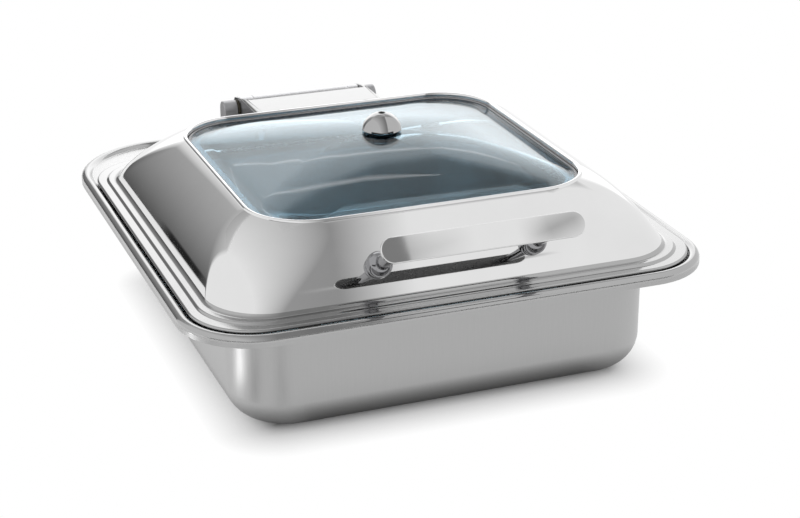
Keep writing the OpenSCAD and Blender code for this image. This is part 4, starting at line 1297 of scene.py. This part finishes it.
class CHAFER_OT_hinge_leaf(bpy.types.Operator):
    """Bends the leaf that carries the lid, and sets its rivets"""
    bl_idname = "chafer.hinge_leaf"
    bl_label = "Hinge leaf"

    def execute(self, context):
        hinge = dish().hinge
        section = LidSection()
        self.leaf(hinge, section)
        self.rivets(hinge, section)
        return {"FINISHED"}

    def leaf(self, hinge, section):
        """One bent sheet: a top with a rear lip, two cheeks with eyes, and tabs on the lid's wall."""
        wall_y = section.foot_y - section.middle[0]
        wall_r = section.radius + hinge.leaf_gap
        low_z = section.leaf_low
        turns = [math.degrees(math.asin((z - section.middle[1]) / wall_r)) for z in (low_z, hinge.leaf_top)]
        wall = arc((wall_y, section.middle[1]), wall_r, turns[0], turns[1], steps=8)
        back_y = PIN.y - hinge.leaf_back
        ends = (math.degrees(hinge.eye_start), math.degrees(hinge.eye_end))
        eye = arc((PIN.y, PIN.z), hinge.eye_r, ends[0], ends[1], steps=16)
        points = wall + [(back_y, hinge.leaf_top)] + eye + [(section.foot_y, low_z)]
        bm = bmesh.new()
        cheek = [bm.verts.new((-hinge.leaf_x, y, z)) for y, z in points]
        bm.faces.new(cheek)
        count = len(wall)
        wall_edges = [bm.edges.get(pair) for pair in pairs(cheek[:count])]
        top_edge = bm.edges.get((cheek[count - 1], cheek[count]))
        inset = hinge.leaf_t + hinge.leaf_bend
        near = self.extend(bm, [top_edge], (inset, 0, 0))
        far = self.extend(bm, near, (hinge.leaf_x - inset, 0, 0))
        beside = [e for v in far[0].verts for e in v.link_edges if e not in far]
        rear = [e for e in beside if all(abs(v.co.y - back_y) < MERGE for v in e.verts)]
        self.extend(bm, rear, (0, 0, -hinge.leaf_lip))
        self.extend(bm, wall_edges, (hinge.leaf_t + hinge.leaf_tab, 0, 0))
        bevel(bm, [top_edge] + rear, hinge.leaf_bend, segments=4)
        bmesh.ops.mirror(bm, geom=bm.verts[:] + bm.edges[:] + bm.faces[:], axis="X", merge_dist=MERGE)
        bmesh.ops.remove_doubles(bm, verts=bm.verts, dist=MERGE)
        thicken(bm, hinge.leaf_t)
        finished(bm, "hinge_leaf_bent", "lid", ["hinge_leaf"], [finish("leaf_sheet")])

    def extend(self, bm, edges, move):
        """Extrudes edges by a move and returns the new far edges."""
        made = bmesh.ops.extrude_edge_only(bm, edges=edges)
        verts = drawn_out(bm, made, move)
        lines = [e for e in made["geom"] if isinstance(e, bmesh.types.BMEdge)]
        return [e for e in lines if all(v in verts for v in e.verts)]

    def rivets(self, hinge, section):
        """Four rivets with domed heads inside and outside the lid's wall."""
        head_r = hinge.rivet_head_r
        head_h = hinge.rivet_head_h
        outside = hinge.leaf_gap + hinge.leaf_t
        inside = dish().pan.sheet + hinge.rivet_gap
        dome_r = (head_r ** 2 + head_h ** 2) / (2 * head_h)
        spread = math.degrees(math.asin(head_r / dome_r))
        profile = arc((0, dome_r - inside - head_h), dome_r, -90, spread - 90, steps=6)
        profile += [(hinge.rivet_r, -inside), (hinge.rivet_r, outside)]
        profile += arc((0, outside + head_h - dome_r), dome_r, 90 - spread, 90, steps=6)
        rivet_x = hinge.leaf_x - hinge.leaf_t - hinge.leaf_tab / 2
        rows = (section.leaf_low + hinge.rivet_edge, hinge.leaf_top - hinge.leaf_t - hinge.rivet_edge)
        bm = bmesh.new()
        for height in rows:
            on_wall = section.on_rear_wall(section.wall_share(height))
            for x in (-rivet_x, rivet_x):
                add_part(bm, turned(profile, steps=32), Matrix.Translation((x, 0, 0)) @ on_wall)
        steel = finish("screw_steel")
        finished(bm, "hinge_rivet_set", "lid", ["hinge_leaf_rivets"], [steel])


# Stage

# Middle of the dish, which the cards face
CARD_AIM = Vector((0.0, 0.0, 0.1))

# Part of a card that a soft edge takes at most
SOFTEST = 0.499


def facing(heading, rise, distance):
    """Frame of a card that faces the dish, from its heading (rear to right), rise and distance."""
    turn = math.radians(heading)
    lift = math.radians(rise)
    away = Vector((math.sin(turn) * math.cos(lift), math.cos(turn) * math.cos(lift), math.sin(lift)))
    turned_to = away.to_track_quat("-Z", "Y").to_matrix().to_4x4()
    return Matrix.Translation(CARD_AIM + distance * away) @ turned_to


def upright(x, y, z):
    """Frame of a card that stands across the dish's length."""
    return Matrix.Translation((x, y, z)) @ Matrix.Rotation(math.pi / 2, 4, "X")


def lying(x, y, heading, height=0.001):
    """Frame of a card that lies on the floor with its length along a heading."""
    return Matrix.Translation((x, y, height)) @ Matrix.Rotation(-math.radians(heading), 4, "Z")


# Lamps that light the floor and the dull pieces: name, place, size and power
LAMPS = (
    ("key_lamp", (0.5, -0.2, 1.5), 1.4, 13.0),
    ("fill_lamp", (-0.3, 0.9, 1.4), 1.4, 7.0),
)

# Cards that metal and glass see: name, frame, width, height, light at the foot and at the head, soft edge
CARDS = (
    ("left_card", facing(-22.0, 18.0, 2.0), 1.16, 1.8, 0.055, 0.70, 0.10),
    ("low_card", facing(-33.0, -1.0, 1.5), 0.13, 0.12, 0.02, 0.02, 0.03),
    ("rear_card", upright(0.33, 0.56, 0.54), 1.10, 0.88, 2.15, 0.95, 0.12),
    ("shade_card", upright(0.40, 0.55, 1.30), 1.30, 1.16, 0.60, 0.60, 0.12),
    # Dark card on the floor behind the dish that only metal sees: painted shade on the hinge leaf's cheek
    ("cheek_card", lying(-0.17, 0.587, 0.0), 0.20, 0.25, 0.08, 0.08, 0.03),
    ("front_horizon_card", facing(165.0, 6.0, 2.2), 3.0, 0.55, 0.05, 0.05, 0.12),
    ("left_horizon_card", facing(228.0, 6.0, 2.3), 3.0, 0.55, 0.05, 0.05, 0.12),
    ("plate_left_card", facing(169.5, 32.3, 0.75), 0.042, 0.05, 0.25, 0.25, 0.002),
    ("plate_soft_card", facing(167.7, 32.3, 0.80), 0.16, 0.06, 0.60, 0.60, 0.08),
    ("plate_right_card", facing(154.3, 30.0, 0.75), 0.085, 0.05, 0.50, 0.50, 0.03),
    # Dark card under the dish that only metal sees: painted shade mirrored in the pan's foot fillet
    ("under_card", lying(0.0, 0.0, 0.0), 0.37, 0.45, 0.05, 0.05, 0.08),
    # Bright patch on the floor that only metal sees: a painted highlight on the pan's front left corner
    ("corner_card", lying(-0.33, -0.085, -71.0, 0.002), 0.05, 0.22, 3.8, 3.8, 0.015),
    # Grey patch on the floor that only metal sees: a painted dark reflection beside the pan's corner
    # highlight
    ("corner_dark_card", lying(-0.29, -0.19, -106.0, 0.002), 0.035, 0.20, 0.45, 0.45, 0.012),
    # Grey patch on the floor that only metal sees: a painted dark reflection on the pan's front left wall
    ("front_dark_card", lying(-0.20, -0.29, -150.0, 0.002), 0.05, 0.20, 0.70, 0.70, 0.02),
)

# Strips of light that the glass mirrors as soft lines: name, light, and places (x, z, half width)
STRIP_Y = 0.54
STRIPS = (
    ("upper_line_card", 2.8, (
        (-0.12, 0.39, 0.003), (-0.055, 0.417, 0.003), (0.00, 0.426, 0.004), (0.065, 0.495, 0.02),
        (0.12, 0.545, 0.02), (0.24, 0.605, 0.025), (0.30, 0.63, 0.03), (0.35, 0.55, 0.025),
        (0.42, 0.525, 0.035), (0.54, 0.56, 0.005),
    )),
    ("lower_line_card", 3.0, (
        (-0.12, 0.44, 0.003), (-0.09, 0.505, 0.02), (-0.06, 0.575, 0.02), (-0.015, 0.65, 0.03),
        (0.025, 0.70, 0.035), (0.125, 0.81, 0.04), (0.325, 1.02, 0.06), (0.47, 1.155, 0.01),
    )),
)

# Grey band bent over the dish about its front wall: radius, middle, span, ends, darkest place and light
BAND_RADIUS = 2.0
BAND_MIDDLE = (0.0, -0.15, 0.12)
BAND_SPAN = 150.0
BAND_LEFT, BAND_DARK, BAND_RIGHT = -1.1, 0.53, 0.68
BAND_LIGHT = 0.34


def sight(tree):
    """1 for a ray that the camera, a metal or the glass sends out, and 0 for one that gathers light."""
    path = tree.nodes.new("ShaderNodeLightPath")
    total = path.outputs["Is Camera Ray"]
    for kind in ("Is Glossy Ray", "Is Transmission Ray"):
        either = tree.nodes.new("ShaderNodeMath")
        either.operation = "MAXIMUM"
        tree.links.new(total, either.inputs[0])
        tree.links.new(path.outputs[kind], either.inputs[1])
        total = either.outputs["Value"]
    return total


class CHAFER_OT_stage(bpy.types.Operator):
    """Sets up the floor, the room, the lamps, the cards and the camera"""
    bl_idname = "chafer.stage"
    bl_label = "Stage"

    def execute(self, context):
        stage = dish().stage
        context.scene.view_settings.view_transform = "Standard"
        self.floor(stage)
        self.room(stage)
        for lamp in LAMPS:
            self.lamp(*lamp)
        for card in CARDS:
            self.card(*card)
        for strip in STRIPS:
            self.strip(*strip)
        self.band()
        self.camera(stage)
        return {"FINISHED"}

    def floor(self, stage):
        """A pale floor that takes the dish's shadow and fades to plain white."""
        bm = bmesh.new()
        bmesh.ops.create_grid(bm, x_segments=1, y_segments=1, size=stage.floor_size)
        nodes = Nodes("floor")
        nodes.shader.inputs["Roughness"].default_value = 1.0
        nodes.shader.inputs["Specular IOR Level"].default_value = 0.0
        nodes.shader.inputs["Base Color"].default_value = (*stage.floor, 1)
        away = nodes.place
        steps = (("ABSOLUTE", None), ("SUBTRACT", (*stage.shade, 0)), ("MAXIMUM", (0, 0, 0)))
        for operation, amount in steps:
            step = nodes.add("ShaderNodeVectorMath", operation=operation)
            nodes.link(away, step.inputs[0])
            if amount:
                step.inputs[1].default_value = amount
            away = step.outputs["Vector"]
        distance = nodes.add("ShaderNodeVectorMath", operation="LENGTH")
        nodes.link(away, distance.inputs[0])
        fade = nodes.spread(distance.outputs["Value"], 0.0, 1.0, start=0.0, end=stage.fade)
        seen = nodes.add("ShaderNodeMath", operation="MULTIPLY")
        nodes.link(fade, seen.inputs[0])
        nodes.link(sight(nodes.tree), seen.inputs[1])
        white = nodes.add("ShaderNodeEmission")
        self.blend(nodes, seen.outputs["Value"], nodes.shader.outputs["BSDF"], white.outputs["Emission"])
        mesh = as_mesh(bm, "floor")
        mesh.materials.append(nodes.material)
        placed("floor", mesh)

    def room(self, stage):
        """A white room for eyes, metal and glass, and a softer one for what it lights."""
        world = bpy.data.worlds.new("room")
        world.use_nodes = True
        tree = world.node_tree
        dim = tree.nodes["Background"]
        white = tree.nodes.new("ShaderNodeBackground")
        for light, strength in ((dim, stage.ambient), (white, 1.0)):
            light.inputs["Color"].default_value = (1, 1, 1, 1)
            light.inputs["Strength"].default_value = strength
        mix = tree.nodes.new("ShaderNodeMixShader")
        tree.links.new(sight(tree), mix.inputs["Fac"])
        tree.links.new(dim.outputs["Background"], mix.inputs[1])
        tree.links.new(white.outputs["Background"], mix.inputs[2])
        tree.links.new(mix.outputs["Shader"], tree.nodes["World Output"].inputs["Surface"])
        bpy.context.scene.world = world

    def lamp(self, name, place, size, power):
        """A soft lamp above the dish, which metal and glass don't mirror."""
        light = bpy.data.lights.new(name, "AREA")
        light.size = size
        light.energy = power
        holder = placed(name, light)
        holder.location = place
        holder.rotation_euler = (-Vector(place)).to_track_quat("-Z", "Y").to_euler()
        holder.visible_glossy = False

    def card(self, name, place, width, height, low, high, soft):
        """A card with soft edges and a light from low to high."""
        bm = bmesh.new()
        bmesh.ops.create_grid(bm, x_segments=1, y_segments=1, size=0.5)
        nodes = Nodes(name)
        sides = nodes.add("ShaderNodeSeparateXYZ")
        nodes.link(nodes.place, sides.inputs["Vector"])
        cover = nodes.add("ShaderNodeMath", operation="MULTIPLY")
        for slot, axis, reach in ((0, "X", width), (1, "Y", height)):
            away = nodes.add("ShaderNodeMath", operation="ABSOLUTE")
            nodes.link(sides.outputs[axis], away.inputs[0])
            edge = min(SOFTEST, soft / reach)
            part = nodes.spread(away.outputs["Value"], 1.0, 0.0, start=0.5 - edge, end=0.5)
            nodes.link(part, cover.inputs[slot])
        light = nodes.spread(sides.outputs["Y"], low, high, start=-0.5, end=0.5)
        self.glow(nodes, cover.outputs["Value"], light)
        self.hang(bm, nodes, place @ Matrix.Diagonal((width, height, 1.0, 1.0)))

    def strip(self, name, light, places):
        """A thin bent card that the glass mirrors as a soft line, and that nothing sees through it."""
        bm = bmesh.new()
        cover = bm.verts.layers.float.new("cover")
        rows = []
        for x, z, wide in places:
            rows.append([bm.verts.new((x, STRIP_Y, z + side * wide)) for side in (-1, 0, 1)])
            rows[-1][1][cover] = 1.0
        for row, after in pairs(rows):
            for k in (0, 1):
                bm.faces.new((row[k], after[k], after[k + 1], row[k + 1]))
        nodes = Nodes(name)
        shape = nodes.add("ShaderNodeAttribute", attribute_name="cover")
        self.glow(nodes, shape.outputs["Fac"], light)
        board = self.hang(bm, nodes, Matrix.Identity(4))
        board.visible_transmission = False

    def band(self):
        """A soft grey band over the dish, bent round its front wall, that the wall mirrors upright."""
        bm = bmesh.new()
        ends = [bm.verts.new((x, -BAND_RADIUS, 0.0)) for x in (BAND_LEFT, BAND_RIGHT)]
        line = bm.edges.new(ends)
        span = math.radians(BAND_SPAN)
        bmesh.ops.spin(bm, geom=[*ends, line], cent=(0, 0, 0), axis=(-1, 0, 0), angle=span, steps=30)
        nodes = Nodes("band_card")
        sides = nodes.add("ShaderNodeSeparateXYZ")
        nodes.link(nodes.place, sides.inputs["Vector"])
        cover = nodes.add("ShaderNodeMath", operation="MINIMUM")
        left = nodes.spread(sides.outputs["X"], 0.0, 1.0, start=BAND_LEFT, end=BAND_DARK)
        right = nodes.spread(sides.outputs["X"], 1.0, 0.0, start=BAND_DARK, end=BAND_RIGHT)
        nodes.link(left, cover.inputs[0])
        nodes.link(right, cover.inputs[1])
        self.glow(nodes, cover.outputs["Value"], BAND_LIGHT)
        self.hang(bm, nodes, Matrix.Translation(BAND_MIDDLE))

    def glow(self, nodes, cover, light):
        """Shades a card: a light where it covers, and clear elsewhere."""
        shine = nodes.add("ShaderNodeEmission")
        if isinstance(light, float):
            shine.inputs["Strength"].default_value = light
        else:
            nodes.link(light, shine.inputs["Strength"])
        clear = nodes.add("ShaderNodeBsdfTransparent")
        self.blend(nodes, cover, clear.outputs["BSDF"], shine.outputs["Emission"])

    def blend(self, nodes, amount, first, second):
        """Makes a mix of two shaders a material's surface."""
        mix = nodes.add("ShaderNodeMixShader")
        nodes.link(amount, mix.inputs["Fac"])
        nodes.link(first, mix.inputs[1])
        nodes.link(second, mix.inputs[2])
        nodes.surface(mix.outputs["Shader"])

    def hang(self, bm, nodes, place):
        """Hangs a card in its place, for metal and glass alone."""
        name = nodes.material.name
        mesh = as_mesh(bm, name)
        mesh.materials.append(nodes.material)
        board = placed(name, mesh)
        board.matrix_world = place
        board.visible_camera = False
        board.visible_diffuse = False
        board.visible_shadow = False
        return board

    def camera(self, stage):
        """The camera that fits the dish's edges in the 800 x 518 picture."""
        forward = Vector((
            math.sin(stage.yaw) * math.cos(stage.pitch),
            math.cos(stage.yaw) * math.cos(stage.pitch),
            -math.sin(stage.pitch),
        ))
        lens = bpy.data.cameras.new("camera")
        lens.sensor_width = stage.sensor
        lens.lens = stage.lens
        camera = placed("camera", lens)
        camera.location = stage.camera
        level = forward.to_track_quat("-Z", "Y").to_matrix()
        camera.rotation_euler = (level @ Matrix.Rotation(stage.roll, 3, "Z")).to_euler()
        bpy.context.scene.camera = camera


GROUPS = (
    PanSizes, BaseSizes, FoodPanSizes, BufferSizes, LidSizes, WindowSizes, VentSizes, HandleSizes,
    HingeSizes, Finishes, StageLook, ChafingDish,
)

PIECES = (
    CHAFER_OT_water_pan, CHAFER_OT_base, CHAFER_OT_food_pan, CHAFER_OT_buffers, CHAFER_OT_hinge_base,
    CHAFER_OT_hinge_pin, CHAFER_OT_lid_shell, CHAFER_OT_window, CHAFER_OT_vent, CHAFER_OT_handle,
    CHAFER_OT_hinge_leaf, CHAFER_OT_stage,
)


class CHAFER_PT_dresser(bpy.types.Panel):
    """Lists the pieces of the dish in the sidebar"""
    bl_idname = "CHAFER_PT_dresser"
    bl_label = "Chafing dish"
    bl_space_type = "VIEW_3D"
    bl_region_type = "UI"
    bl_category = "Chafing dish"

    def draw(self, context):
        for piece in PIECES:
            self.layout.operator(piece.bl_idname)


def register():
    """Registers the properties, the operators and the panel."""
    for kind in (*GROUPS, *PIECES, CHAFER_PT_dresser):
        bpy.utils.register_class(kind)
    bpy.types.Scene.chafing_dish = bpy.props.PointerProperty(type=ChafingDish)


def unregister():
    """Takes them away again."""
    del bpy.types.Scene.chafing_dish
    for kind in reversed((*GROUPS, *PIECES, CHAFER_PT_dresser)):
        bpy.utils.unregister_class(kind)


def main():
    """Makes every piece."""
    register()
    for piece in PIECES:
        group, name = piece.bl_idname.split(".")
        getattr(getattr(bpy.ops, group), name)()


if __name__ == "__main__":
    main()
